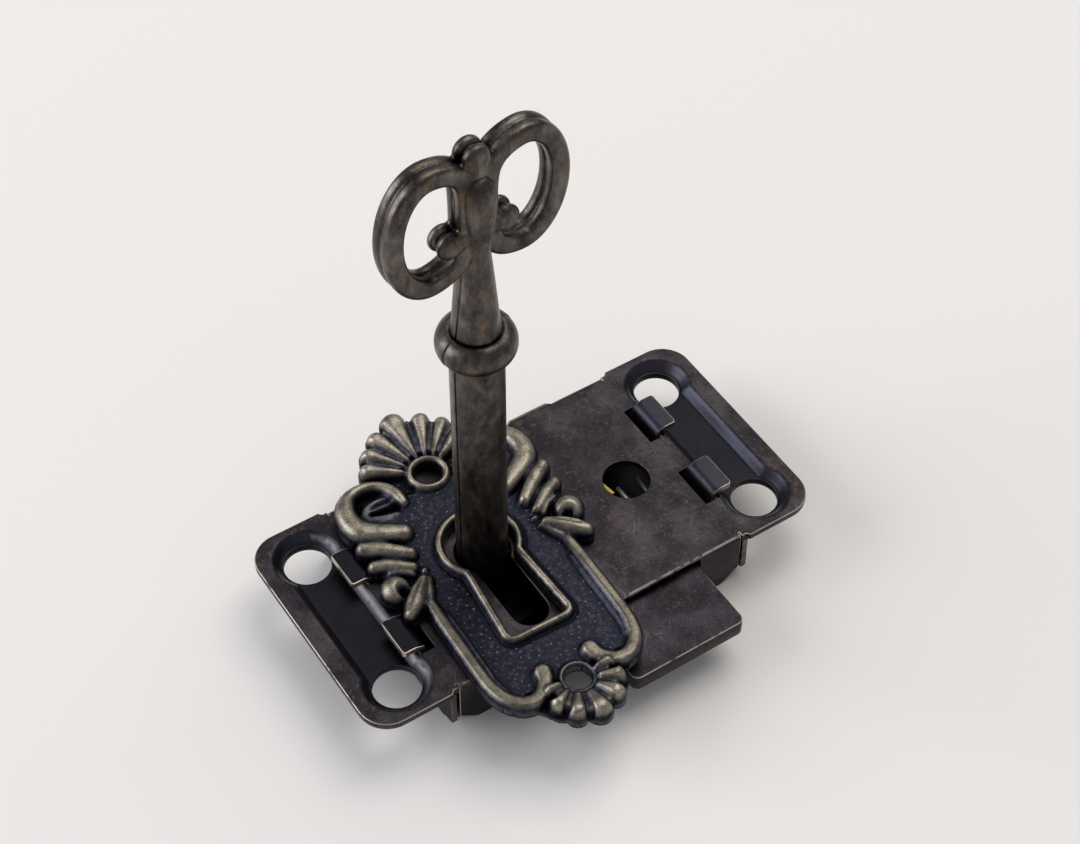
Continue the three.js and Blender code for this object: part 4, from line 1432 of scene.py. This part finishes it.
@dataclass
class Key:
    """The cast key: barrel with bit, collar, stem and bow."""

    axis: float = -7.7
    turn: float = 3.8
    barrel: float = 3.25
    bore: float = 1.65
    bore_top: float = 10.1
    foot: float = 2.1
    collar_foot: float = 45.3
    collar_top: float = 49.6
    collar: float = 4.8
    stem_foot: float = 3.0
    waist: float = 1.65
    waist_z: float = 62.0
    head: float = 2.4
    head_swell: float = 0.36
    head_z: float = 70.3
    top_z: float = 73.8
    bow_z: float = 68.45
    loop_x: float = 6.1
    loop_half: Point = (6.05, 8.9)
    band: float = 2.5
    thickness: float = 3.1
    bit_reach: float = 12.6
    bit_half: float = 1.4
    bit_top: float = 6.9
    seam: float = 0.12
    grain: float = 0.14
    sides: int = 120
    seam_line: Point = (0.1, 0.11)
    bit_inner: float = 2.4
    lower_slot: tuple[float, float, float] = (7.06, 8.8, 3.1)
    upper_slot: tuple[float, float, float] = (3.35, 5.0, 5.2)
    finial: tuple[tuple[float, float, float], ...] = ((0, 75.9, 1.8), (0, 74.2, 1.5))
    knobs: tuple[tuple[float, float, float], ...] = (
        (3.65, 65.3, 1.75), (2.4, 65.5, 1.3), (1.2, 65.5, 1.1),
    )

    def turned(self, profile: Sequence[Point]) -> tuple[np.ndarray, list[tuple[int, ...]]]:
        """Turns a profile about the key's own axis, with the mould's parting line down both sides.

        Args:
            profile: Radius and height pairs, from one end to the other.

        Returns:
            Points and faces.
        """
        turns = {360 * k / self.sides for k in range(self.sides)}
        turns |= {(side + t) % 360 for side in (0, 180) for t in (0, *both((1.2, 2.4, 3.6, 5)))}
        angles = [math.radians(t) for t in sorted(turns)]
        centre, width = self.seam_line
        points = []
        for radius, z in profile:
            share = (z - self.collar_top) / (self.waist_z - self.collar_top)
            deep = 1 + self.head_swell * smooth_step(share)
            for a in angles:
                r = radius
                if radius > 1:
                    reach = (abs(math.sin(a)) * radius - centre) / width
                    r += -self.seam * math.exp(-(reach**2)) if math.sin(a) < 0 else self.seam * 0.5
                points.append((r * math.cos(a), r * math.sin(a) * deep, z))
        return np.array(points), tube(len(profile), len(angles))

    def shaft_profile(self) -> list[Point]:
        """Draws barrel, collar, stem and head, from inside the bore to the top.

        Returns:
            Radius and height pairs.
        """
        bore, barrel, foot, top = self.bore, self.barrel, self.foot, self.bore_top
        profile = [(0.0, top), (bore - 0.3, top), (bore, top - 0.4), (bore, foot + 0.3)]
        profile += [(bore + 0.2, foot), (barrel - 0.35, foot), (barrel - 0.1, foot + 0.1)]
        length = self.collar_foot - foot - 0.6
        profile += [(barrel, foot + 0.4 + length * i / 60) for i in range(61)]
        bead = (self.collar_top - self.collar_foot) / 2
        for i in range(21):
            a = math.pi * (0.06 + 0.87 * i / 20)
            radius = self.collar - bead + bead * math.sin(a) ** 0.85
            profile.append((radius, self.collar_foot + bead - bead * math.cos(a)))
        crease = profile[-1][1] - 0.1
        profile.append((self.stem_foot - 0.06, crease))
        taper, rise = self.waist - self.stem_foot, self.waist_z - crease - 0.1
        for share in np.arange(37) / 36:
            profile.append((self.stem_foot + taper * share**0.85, crease + 0.1 + rise * share))
        swell, rise = self.head - self.waist, self.head_z - self.waist_z
        for share in np.arange(1, 17) / 16:
            profile.append((self.waist + swell * smooth_step(share), self.waist_z + rise * share))
        for i in range(1, 12):
            a = QUARTER * i / 12
            height = self.head_z + (self.top_z - self.head_z) * math.sin(a)
            profile.append((self.head * math.cos(a) ** 0.75, height))
        return [*profile, (0.0, self.top_z)]

    def place(self, points: np.ndarray) -> np.ndarray:
        """Turns points of the key's own frame to where the key stands."""
        return turned_about(points, self.turn, (self.axis, 0))

    def build(self) -> None:
        """Makes the shaft, the bit and the bow."""
        points, faces = self.turned(self.shaft_profile())
        shaft = new_piece("key_shaft", self.place(points), faces, KEY_METAL, 50)
        weld(shaft)
        settle(shaft, Body.KEY, Slot.CAST_ALLOY, "key")
        self.bit()
        self.bow()

    def bit(self) -> None:
        """Makes the bit, its edges rounded and its two ward slots cut."""
        inner, outer, foot, top = self.bit_inner, self.bit_reach, self.foot, self.bit_top
        low_in, low_out, low_end = self.lower_slot
        up_in, up_out, up_end = self.upper_slot
        outline = [
            (inner, foot), (low_in, foot), (low_in, low_end), (low_out, low_end), (low_out, foot),
            (outer, foot), (outer, top), (up_out, top), (up_out, up_end), (up_in, up_end),
            (up_in, top), (inner, top),
        ]
        bit = SheetBlank(outline, [], self.bit_half * 2, 0.2, 0.2, 0.5).piece(
            "key_bit",
            lambda x, z, below: self.place(np.stack([x, below - self.bit_half, z], 1)),
            KEY_METAL,
        )
        settle(bit, Body.KEY, Slot.CAST_ALLOY)

    def loops(self, cuts: int = 96) -> tuple[list[tuple[float, float, float]], list[tuple[int, int]]]:
        """Draws the middle lines of the bow's two loops: ovals, squarer where the two meet.

        Args:
            cuts: How many points each has.

        Returns:
            Points and edges.
        """
        wide, tall = (half - self.band / 2 for half in self.loop_half)
        line, edges = [], []
        for side in (-1, 1):
            edges += [(len(line) + i, len(line) + (i + 1) % cuts) for i in range(cuts)]
            for i in range(cuts):
                a = 2 * math.pi * i / cuts
                power = 2 / (2 + 1.3 * max(0.0, -math.cos(a)))
                x = self.loop_x + wide * signed_power(math.cos(a), power)
                line.append((side * x, self.bow_z + tall * signed_power(math.sin(a), power), 0))
        return line, edges

    def bow(self) -> None:
        """Makes the bow: two loops, the knobs inside them and the finial, melted into one skin."""
        rings = BeadRingShape().grow(
            "rings",
            *self.loops(),
            Bead_Width=self.band * MM,
            Bead_Depth=(self.thickness / 2 + 0.06) * MM,
            Corner=self.thickness * 0.2 * MM,
            Spread=(self.thickness / 4 - 0.03) * MM,
        )
        spots = [*self.finial, *((side * x, z, radius) for side in (-1, 1) for x, z, radius in self.knobs)]
        joined = join_pieces("bow_parts", [rings, *(self.bead(*spot) for spot in spots)], KEY_METAL)
        remesh = joined.modifiers.new("skin", "REMESH")
        remesh.mode = "VOXEL"
        remesh.voxel_size = self.grain * MM
        soft = joined.modifiers.new("soften", "SMOOTH")
        soft.factor = 0.5
        soft.iterations = 12
        bow = evaluated(joined, "key_bow")
        bow.data.shade_smooth()
        placed = self.place(coordinates(bow.data)) * MM
        bow.data.vertices.foreach_set("co", placed.ravel())
        bow.data.update()
        settle(bow, Body.KEY, Slot.CAST_ALLOY)

    def bead(self, x: float, z: float, radius: float) -> bpy.types.Object:
        """Makes one lobe of the bow: two flattened balls side by side.

        Args:
            x: Its place along the bow.
            z: Its height.
            radius: Its radius.

        Returns:
            The lobe.
        """
        deep = self.thickness / 4 + 0.12
        around, rings = 24, 14
        points, faces = [], []
        for side in (-1, 1):
            faces += tube(rings + 1, around, len(points))
            for i in range(rings + 1):
                tilt = math.pi * i / rings
                y = side * deep * 0.95 + deep * signed_power(math.cos(tilt), 0.85)
                wide = radius * math.sin(tilt) ** 0.8
                for k in range(around):
                    a = 2 * math.pi * k / around
                    points.append((x + wide * math.cos(a), y, z + wide * math.sin(a)))
        lobe = new_piece("lobe", np.array(points), faces, KEY_METAL)
        weld(lobe)
        return lobe


# The key plate


@dataclass
class Swell:
    """A rounded rib that swells and tapers along a line, or a groove cut along it."""

    line: list[tuple[float, float, float]]
    height: float
    edge: float = 0.95
    cut: bool = False
    flat: float = 2.6

    def samples(self) -> np.ndarray:
        """Cuts the line into close points on a smooth curve.

        Returns:
            Rows of x, y and half width.
        """
        points = np.array(self.line)
        if len(points) == 1:
            return points
        ends = np.concatenate([[2 * points[0] - points[1]], points, [2 * points[-1] - points[-2]]])
        out = []
        for i in range(1, len(ends) - 2):
            p0, p1, p2, p3 = ends[i - 1 : i + 3]
            cuts = max(4, math.ceil(np.linalg.norm((p2 - p1)[:2]) / 0.12))
            t = np.linspace(0, 1, cuts, endpoint=False)[:, None]
            out.append(
                0.5 * (2 * p1 + (p2 - p0) * t + (2 * p0 - 5 * p1 + 4 * p2 - p3) * t**2
                       + (3 * p1 - p0 - 3 * p2 + p3) * t**3)
            )
        out.append(points[-1:])
        return np.concatenate(out)

    def lay(self, x: np.ndarray, y: np.ndarray, top: np.ndarray, away: np.ndarray) -> None:
        """Raises or cuts the height field along the line. A rib also widens the silhouette.

        Args:
            x: Grid places.
            y: Grid places.
            top: Heights, changed in place.
            away: Signed distances outside the silhouette, changed in place.
        """
        line = self.samples()
        reach = line[:, 2].max() + 1.2
        near = (
            (x > line[:, 0].min() - reach) & (x < line[:, 0].max() + reach)
            & (y > line[:, 1].min() - reach) & (y < line[:, 1].max() + reach)
        )
        px, py = x[near], y[near]
        gap = np.hypot(px[:, None] - line[:, 0], py[:, None] - line[:, 1])
        shares = gap / line[:, 2]
        nearest = shares.argmin(1)
        share = shares.min(1)
        if self.cut:
            left = smooth_step(share)
            cut = top[near] * left + np.minimum(top[near], self.height) * (1 - left)
            top[near] = np.where(share < 1, cut, top[near])
            return
        fullness = np.sqrt(line[nearest, 2] / line[:, 2].max())
        full = np.sqrt(np.clip(1 - share**self.flat, 0, 1))
        dome = self.edge + (self.height - self.edge) * fullness * full
        top[near] = np.where(share < 1, np.maximum(top[near], dome), top[near])
        away[near] = np.minimum(away[near], (gap - line[:, 2]).min(1))


@dataclass
class KeyPlate:
    """The loose cast key plate: a relief on a flat back."""

    middle: Point = (-8.1, 0.1)
    turn: float = -2.0
    back: float = 8.6
    field: float = 1.3
    grid: float = 0.13
    half_width: float = 13.4
    crest: float = 24.4
    toe: float = 30.4
    crest_hole: float = 13.1
    toe_hole: float = -23.6
    crest_ring: tuple[float, float, float, float] = (13.1, 2.4, 0.58, 2.15)
    toe_ring: tuple[float, float, float, float] = (-23.6, 2.05, 0.36, 1.75)
    ring_floor: float = 1.0
    rim_foot: float = 1.2
    groove: tuple[float, float, float] = (0.18, 0.2, 0.3)
    dish: tuple[float, float, float, float] = (8.4, 11.4, 2.8, 2.9)
    dish_rise: float = 0.3
    shell_depth: float = 0.5
    foot_corner: float = 0.7
    pin_radius: float = 1.9
    toe_radius: float = 1.75
    hole_radius: float = 4.5
    neck_half: float = 3.15
    neck_y: float = 3.4
    foot_half: float = 4.0
    foot_y: float = 14.6
    rim: float = 1.1
    rim_height: float = 2.15
    span: tuple[Point, Point] = ((-14.88, 14.9), (-31.2, 25.3))
    speck_spacing: float = 0.72
    speck_radius: float = 0.13
    speck_lift: float = 0.01
    outline: tuple[Point, ...] = (
        (0, 0.9), (0.2, 0.86), (0.42, 0.74), (0.6, 0.64), (0.78, 0.65), (0.92, 0.56), (0.985, 0.42),
        (0.99, 0.28), (0.93, 0.12), (1, -0.02), (0.93, -0.13), (0.78, -0.2), (0.79, -0.66),
        (0.68, -0.77), (0.46, -0.83), (0.36, -0.9), (0.14, -0.95), (0, -0.96),
    )

    @staticmethod
    def fan(
        middle: float, heading: int, start: float, fingers: Sequence[tuple[float, float, float]], high: float
    ) -> list[Swell]:
        """Returns a shell's fingers, with a thin rib in the groove between each two.

        Args:
            middle: Where the fan's centre is along the plate.
            heading: 1 towards the crest, -1 towards the toe.
            start: Where the fingers start, from the centre.
            fingers: Angle, reach and half width at the tip of each.
            high: Their height.

        Returns:
            The ribs.
        """
        ribs = []

        def ray(angle: float, points: Sequence[Point]) -> list[tuple[float, float, float]]:
            """Returns points of the plate for distances and half widths along one direction."""
            a = math.radians(angle)
            return [(r * math.sin(a), middle + heading * r * math.cos(a), wide) for r, wide in points]

        for angle, reach, width in fingers:
            ribs.append(Swell(ray(angle, [(start, 0.5), (reach - width, width)]), high, 0.9))
        for near, far in zip(fingers, fingers[1:]):
            angle = (near[0] + far[0]) / 2
            end = min(near[1], far[1]) - 0.5
            ribs.append(Swell(ray(angle, [(start + 0.2, 0.3), (end, 0.62)]), 0.8, cut=True))
            ribs.append(Swell(ray(angle, [(start + 0.4, 0.2), (end - 0.6, 0.32)]), high * 0.8, 1.0))
        return ribs

    def swells(self) -> list[Swell]:
        """Lists the right half's ribs and grooves, in the order they are laid.

        Returns:
            The ribs and grooves.
        """
        return [
            Swell([(11.2, 7.6, 2.3), (10.6, 4.6, 2.6), (10.4, 0.8, 2.6), (10.7, -3.2, 2.0)], 0.85, cut=True),
            *self.fan(
                self.crest_hole, 1, 3.2,
                [(0, 11.2, 1.9), (22.5, 10.0, 1.5), (42, 9.4, 1.45), (60, 9.0, 1.35)], 3.0,
            ),
            Swell(
                [(10.3, 12.9, 0.3), (9.5, 13.75, 0.38), (8.0, 13.95, 0.42), (6.9, 13.4, 0.3)], 0.45,
                cut=True),
            Swell(
                [(9.4, 10.9, 0.3), (8.2, 10.75, 0.65), (6.9, 10.6, 0.95), (5.8, 10.4, 0.7)], 0.3,
                cut=True),
            Swell(
                [(5.9, 12.2, 0.55), (7.4, 12.45, 0.5), (9.0, 12.3, 0.5), (10.2, 11.4, 0.6),
                 (10.3, 10.0, 0.65), (9.5, 9.1, 0.5)], 1.7, 1.25),
            Swell(
                [(5.05, 10.4, 0.72), (5.15, 11.2, 0.9), (5.35, 12.3, 1.0), (6.1, 13.7, 0.95),
                 (7.4, 14.75, 0.88), (9.0, 15.1, 0.9), (10.9, 14.5, 1.1), (12.2, 12.8, 1.45),
                 (12.55, 10.7, 1.62), (12.0, 8.9, 1.75), (10.6, 7.7, 1.65), (9.0, 6.8, 1.5),
                 (7.5, 6.05, 1.36)], 3.0),
            Swell([(13.1, 6.3, 1.05), (11.4, 5.2, 1.25), (9.6, 3.75, 1.15), (8.35, 2.7, 1.0)], 2.85),
            Swell([(13.1, 3.3, 0.95), (11.4, 2.5, 1.12), (9.9, 1.4, 1.0), (9.0, 0.8, 0.8)], 2.5),
            Swell([(12.0, 1.35, 0.42), (10.6, 0.7, 0.5), (9.4, -0.2, 0.4)], 2.1),
            Swell([(12.55, -1.1, 2.05)], 3.0, flat=2.0),
            Swell([(11.8, -2.15, 1.25)], 0.8, cut=True),
            Swell([(8.0, -0.35, 0.6)], 2.0, flat=2.0),
            Swell([(8.9, -1.6, 0.8), (10.3, -3.0, 1.25), (11.6, -4.3, 1.3), (12.7, -5.3, 0.95)], 2.8),
            Swell([(9.7, -1.9, 0.14), (10.9, -3.1, 0.22), (12.2, -4.4, 0.16)], 2.0, cut=True),
            Swell([(8.1, -1.7, 0.5), (8.9, -3.3, 0.66), (9.7, -4.9, 0.55)], 2.1),
            Swell([(8.78, -7.5, 0.2), (8.75, -12.0, 0.24), (8.75, -18.8, 0.24), (8.2, -21.2, 0.2)], 1.8, 1.1),
            Swell(
                [(9.85, -5.2, 0.82), (9.95, -9.0, 0.88), (9.95, -13.0, 0.9), (9.95, -17.0, 0.9),
                 (9.8, -19.6, 0.95), (9.1, -22.0, 1.02), (7.6, -23.6, 1.05), (5.9, -23.9, 1.06),
                 (4.6, -23.2, 1.05), (3.7, -22.1, 1.12), (3.35, -20.95, 1.25)], 2.35, flat=3.8),
            *self.fan(
                self.toe_hole, -1, 2.2,
                [(0, 6.7, 1.7), (32, 6.35, 1.4), (61, 5.85, 1.3), (86, 4.9, 0.95)], 2.9,
            ),
        ]

    def opening(self, x: np.ndarray, y: np.ndarray) -> np.ndarray:
        """Measures how far places of either side are outside the keyhole.

        Args:
            x: Places across.
            y: Places along.

        Returns:
            Signed distances, negative inside.
        """
        x = np.abs(x)
        circle = np.hypot(x, y) - self.hole_radius
        lean = (self.foot_half - self.neck_half) / (self.foot_y - self.neck_y)
        half = self.neck_half + lean * (-y - self.neck_y)
        length = math.hypot(1, lean)
        side = (x - half) / length
        foot = -self.foot_y - y
        corner = self.foot_corner
        a, b = side + corner, foot + corner
        slot = np.hypot(np.maximum(a, 0), np.maximum(b, 0)) + np.minimum(np.maximum(a, b), 0) - corner
        slot = np.where(y > 0, 1e3, slot)
        return np.minimum(circle, slot)

    def relief(self, x: np.ndarray, y: np.ndarray) -> tuple[np.ndarray, np.ndarray, np.ndarray]:
        """Works out the casting over a grid.

        Args:
            x: Grid places across.
            y: Grid places along.

        Returns:
            Heights, signed distances outside the silhouette, and where the plain field shows.
        """
        half = np.abs(x)
        corners = [(u * self.half_width, v * (self.crest if v > 0 else self.toe)) for u, v in self.outline]
        loop = np.array(corners + [(-u, v) for u, v in corners[-2:0:-1]])
        flat = np.stack([x.ravel(), y.ravel()], 1)
        away = distance_to([loop], flat)
        away = np.where(inside([loop], flat), -away, away).reshape(x.shape)
        top = np.full(x.shape, self.field)
        hollow = np.hypot((half - self.dish[0]) / self.dish[2], (y - self.dish[1]) / self.dish[3])
        top = top + self.dish_rise * smooth_step((1.05 - hollow) / 0.3)
        shell = np.hypot(x, y - self.crest_hole)
        pressed = smooth_step((shell - 2.6) / 0.6) * (y > self.crest_hole - 1.5) * (shell < 11)
        top = top - self.shell_depth * pressed
        toe = np.hypot(x, y - self.toe_hole)
        pressed = smooth_step((toe - 2.2) / 0.6) * (y < self.toe_hole + 1.0) * (toe < 7)
        top = top - self.shell_depth * pressed
        bare = top.copy()
        bare[hollow < 1.3] = 0
        for rib in self.swells():
            rib.lay(half, y, top, away)
        for spot, radius, wide, high in (self.crest_ring, self.toe_ring):
            ring = np.abs(np.hypot(x, y - spot) - radius) / wide
            dome = self.ring_floor + (high - self.ring_floor) * np.clip(1 - ring**2, 0, 1) ** 0.5
            inner = np.hypot(x, y - spot) < radius + wide
            top = np.where((ring < 1) & inner, dome, top)
            top = np.where(np.hypot(x, y - spot) < radius - wide, self.ring_floor, top)
        gap = self.opening(x, y)
        ring = np.abs(gap - self.rim / 2) / (self.rim / 2)
        dome = self.rim_foot + (self.rim_height - self.rim_foot) * np.clip(1 - ring**4, 0, 1) ** 0.5
        top = np.where((gap > 0) & (gap < self.rim), dome, top)
        place, wide, deep = self.groove
        line = np.clip(1 - np.abs(gap - self.rim - place) / wide, 0, 1)
        top = top - deep * smooth_step(line) * (gap > self.rim)
        for _ in range(2):
            top = blurred(top, 1)
        away = np.maximum(away, -gap)
        for spot, radius in ((self.crest_hole, self.pin_radius), (self.toe_hole, self.toe_radius)):
            away = np.maximum(away, radius - np.hypot(x, y - spot))
        plain = (np.abs(top - bare) < 0.02) & (gap > self.rim + 0.5) & (away < -0.6)
        return top, away, plain

    def place(self, points: np.ndarray) -> np.ndarray:
        """Turns points of the casting's own frame to where it lies."""
        return turned_about(points + (0, 0, self.back), self.turn, self.middle)

    def build(self) -> None:
        """Makes the casting and its stippled field."""
        xs, ys = (np.arange(low, high, self.grid) for low, high in self.span)
        top, away, plain = self.relief(*np.meshgrid(xs, ys, indexing="ij"))
        flat, triangles, used = self.trimmed(xs, ys, away)
        height = top.ravel()[used]
        local = (top - blurred(top, 7)).ravel()[used]
        tall = (height - self.field) / (3.0 - self.field)
        upper = np.column_stack([flat, height])
        self.casting(upper, triangles, np.clip(0.41 + local * 0.5 + tall * 0.38, 0, 1))
        self.stipple(upper, triangles[plain.ravel()[used][triangles].all(1)])

    def trimmed(
        self, xs: np.ndarray, ys: np.ndarray, away: np.ndarray
    ) -> tuple[np.ndarray, np.ndarray, np.ndarray]:
        """Triangulates the grid inside the silhouette, its border pulled onto the silhouette.

        Args:
            xs: The grid's places across.
            ys: Its places along.
            away: Signed distances outside the silhouette.

        Returns:
            Points in the plane, triangles, and the points' numbers in the grid.
        """
        x, y = np.meshgrid(xs, ys, indexing="ij")
        gx, gy = np.gradient(away, self.grid)
        steep = np.maximum(gx**2 + gy**2, 0.2)
        near = np.abs(away) < 0.6 * self.grid
        x = np.where(near, x - away * gx / steep, x)
        y = np.where(near, y - away * gy / steep, y)
        flat = np.stack([x.ravel(), y.ravel()], 1)
        number = np.arange(x.size).reshape(x.shape)
        a, b = number[:-1, :-1].ravel(), number[1:, :-1].ravel()
        c, d = number[1:, 1:].ravel(), number[:-1, 1:].ravel()
        triangles = np.concatenate([np.stack([a, b, c], 1), np.stack([a, c, d], 1)])
        keep = (np.where(near, 0, away).ravel()[triangles] <= 0).all(1)
        keep &= self.sampled(away, xs, ys, flat[triangles].mean(1)) < 0.02
        used, inverse = np.unique(triangles[keep], return_inverse=True)
        return flat[used], inverse.reshape(-1, 3), used

    def casting(self, upper: np.ndarray, triangles: np.ndarray, stands: np.ndarray) -> None:
        """Closes the relief with side walls and a flat back.

        Args:
            upper: The relief's points.
            triangles: Its triangles.
            stands: How far, from 0 to 1, each point stands out.
        """
        sides = np.concatenate([triangles[:, [0, 1]], triangles[:, [1, 2]], triangles[:, [2, 0]]])
        _, first, count = np.unique(np.sort(sides, 1), axis=0, return_index=True, return_counts=True)
        rim = sides[first[count == 1]]
        ends = np.unique(rim)
        border = np.searchsorted(ends, rim)
        _, cap, home = filled(upper[ends, :2], border)
        back = np.zeros(home.max() + 1, int)
        back[home] = np.arange(len(home))
        total, edge = len(upper), len(ends)
        i, j = rim.T
        p, q = border.T + total
        faces = [
            *triangles,
            *(back[cap[:, ::-1]] + total + edge),
            *np.stack([j, i, p, q], 1),
            *np.stack([q, p, p + edge, q + edge], 1),
        ]
        points = np.concatenate([upper, upper[ends] * (1, 1, 0.45), upper[ends] * (1, 1, 0)])
        tone = np.concatenate([stands, np.full(edge, 0.52), np.full(edge, 0.36)])
        casting = new_piece(
            "key_plate_casting", self.place(points), faces, RUBBED_CASTING, 60, relief=tone
        )
        settle(casting, Body.KEY_PLATE, Slot.CAST_ALLOY, "key_plate")

    def stipple(self, upper: np.ndarray, patch: np.ndarray) -> None:
        """Scatters specks over the plain field.

        Args:
            upper: The relief's points.
            patch: The field's triangles.
        """
        spots, inverse = np.unique(patch, return_inverse=True)
        specks = SpeckShape().grow(
            "key_plate_specks",
            self.place(upper[spots] + (0, 0, self.speck_lift)),
            inverse.reshape(-1, 3).tolist(),
            Spacing=self.speck_spacing * MM,
            Radius=self.speck_radius * MM,
            Seed=4,
        )
        # This sets the specks high on their pale grey ramp: rubbed metal and a painted glint.
        add_numbers(specks.data, "relief", np.full(len(specks.data.vertices), 0.75))
        settle(specks, Body.KEY_PLATE, Slot.CAST_ALLOY)

    @staticmethod
    def sampled(level: np.ndarray, xs: np.ndarray, ys: np.ndarray, points: np.ndarray) -> np.ndarray:
        """Reads a grid between its places.

        Args:
            level: The grid.
            xs: Its columns' places.
            ys: Its rows' places.
            points: Where to read it.

        Returns:
            The values.
        """
        step = xs[1] - xs[0]
        u = np.clip((points[:, 0] - xs[0]) / step, 0, len(xs) - 1.001)
        v = np.clip((points[:, 1] - ys[0]) / step, 0, len(ys) - 1.001)
        i, j = u.astype(int), v.astype(int)
        fu, fv = u - i, v - j
        return (
            level[i, j] * (1 - fu) * (1 - fv) + level[i + 1, j] * fu * (1 - fv)
            + level[i, j + 1] * (1 - fu) * fv + level[i + 1, j + 1] * fu * fv
        )


def blurred(values: np.ndarray, reach: int) -> np.ndarray:
    """Averages a grid over the cells around each.

    Args:
        values: The grid.
        reach: How many cells it looks, both ways.

    Returns:
        The softened grid.
    """
    out = values
    for axis in (0, 1):
        total = np.zeros_like(out)
        for shift in range(-reach, reach + 1):
            total += np.roll(out, shift, axis)
        out = total / (2 * reach + 1)
    return out


# Floor, light and camera


@dataclass
class Studio:
    """A pale floor, soft light, and the camera where the photographer stood."""

    azimuth: float = -33.31
    elevation: float = 49.40
    roll: float = 0.20
    distance: float = 300.6
    target: tuple[float, float, float] = (10.03, 13.86, 8.4)
    lens: float = 75.73
    floor: str = "#F0ECE6"
    floor_reach: float = 2.5

    def build(self) -> None:
        """Makes the floor, the lamps, the world and the camera."""
        self.ground()
        self.lamps()
        self.camera()
        bpy.context.scene.view_settings.view_transform = "Standard"

    def ground(self) -> None:
        """Makes the floor: a wide board just under the case."""
        material = bpy.data.materials.new("matt_painted_board")
        material.use_nodes = True
        shader = material.node_tree.nodes["Principled BSDF"]
        shader.inputs["Base Color"].default_value = linear(self.floor)
        shader.inputs["Roughness"].default_value = 0.8
        mesh = bpy.data.meshes.new("floor")
        far = self.floor_reach
        corners = [(-far, -far, 0), (far, -far, 0), (far, far, 0), (-far, far, 0)]
        mesh.from_pydata(corners, [], [(0, 1, 2, 3)])
        mesh.materials.append(material)
        floor = new_object("floor", mesh)

    def lamp(self, name: str, place: Sequence[float], size: float, watts: float, tint: str) -> None:
        """Adds a soft square lamp that faces the lock.

        Args:
            name: Its name.
            place: Where it stands, in metres.
            size: Its side in metres.
            watts: Its power.
            tint: Its colour.
        """
        data = bpy.data.lights.new(name, "AREA")
        data.size = size
        data.energy = watts
        data.color = linear(tint)[:3]
        lamp = new_object(name, data)
        lamp.location = place
        lamp.rotation_mode = "QUATERNION"
        lamp.rotation_quaternion = (-Vector(place)).to_track_quat("-Z", "Y")

    def lamps(self) -> None:
        """Lights the lock from high on the left, with a fill from above."""
        world = bpy.data.worlds.new("soft_room")
        world.use_nodes = True
        sky = world.node_tree.nodes["Background"].inputs
        sky["Color"].default_value = linear("#EEF0F6")
        sky["Strength"].default_value = 0.42
        bpy.context.scene.world = world
        self.lamp("window_left", (-1.0, 0.55, 0.5), 0.95, 12.0, "#F0F3FF")
        self.lamp("overhead", (0.5, 0.2, 1.05), 0.9, 6.8, "#FFFDF9")

    def camera(self) -> None:
        """Stands the camera where the photograph was taken from."""
        az, el, roll = (math.radians(v) for v in (self.azimuth, self.elevation, self.roll))
        back = Vector((math.sin(az) * math.cos(el), -math.cos(az) * math.cos(el), math.sin(el)))
        right = Vector((0, 0, 1)).cross(back).normalized()
        up = back.cross(right)
        tilted = right * math.cos(roll) + up * math.sin(roll)
        up = up * math.cos(roll) - right * math.sin(roll)
        data = bpy.data.cameras.new("camera")
        data.lens = self.lens
        data.sensor_width = 36
        data.clip_start = 0.01
        camera = new_object("camera", data)
        turn = Matrix((tilted, up, back)).transposed().to_4x4()
        place = (Vector(self.target) + back * self.distance) * MM
        camera.matrix_world = Matrix.Translation(place) @ turn
        bpy.context.scene.camera = camera


def main() -> None:
    logging.basicConfig(level=logging.INFO, format="%(name)s %(message)s")
    Case().build()
    Bolt().build()
    Key().build()
    KeyPlate().build()
    Studio().build()


if __name__ == "__main__":
    main()
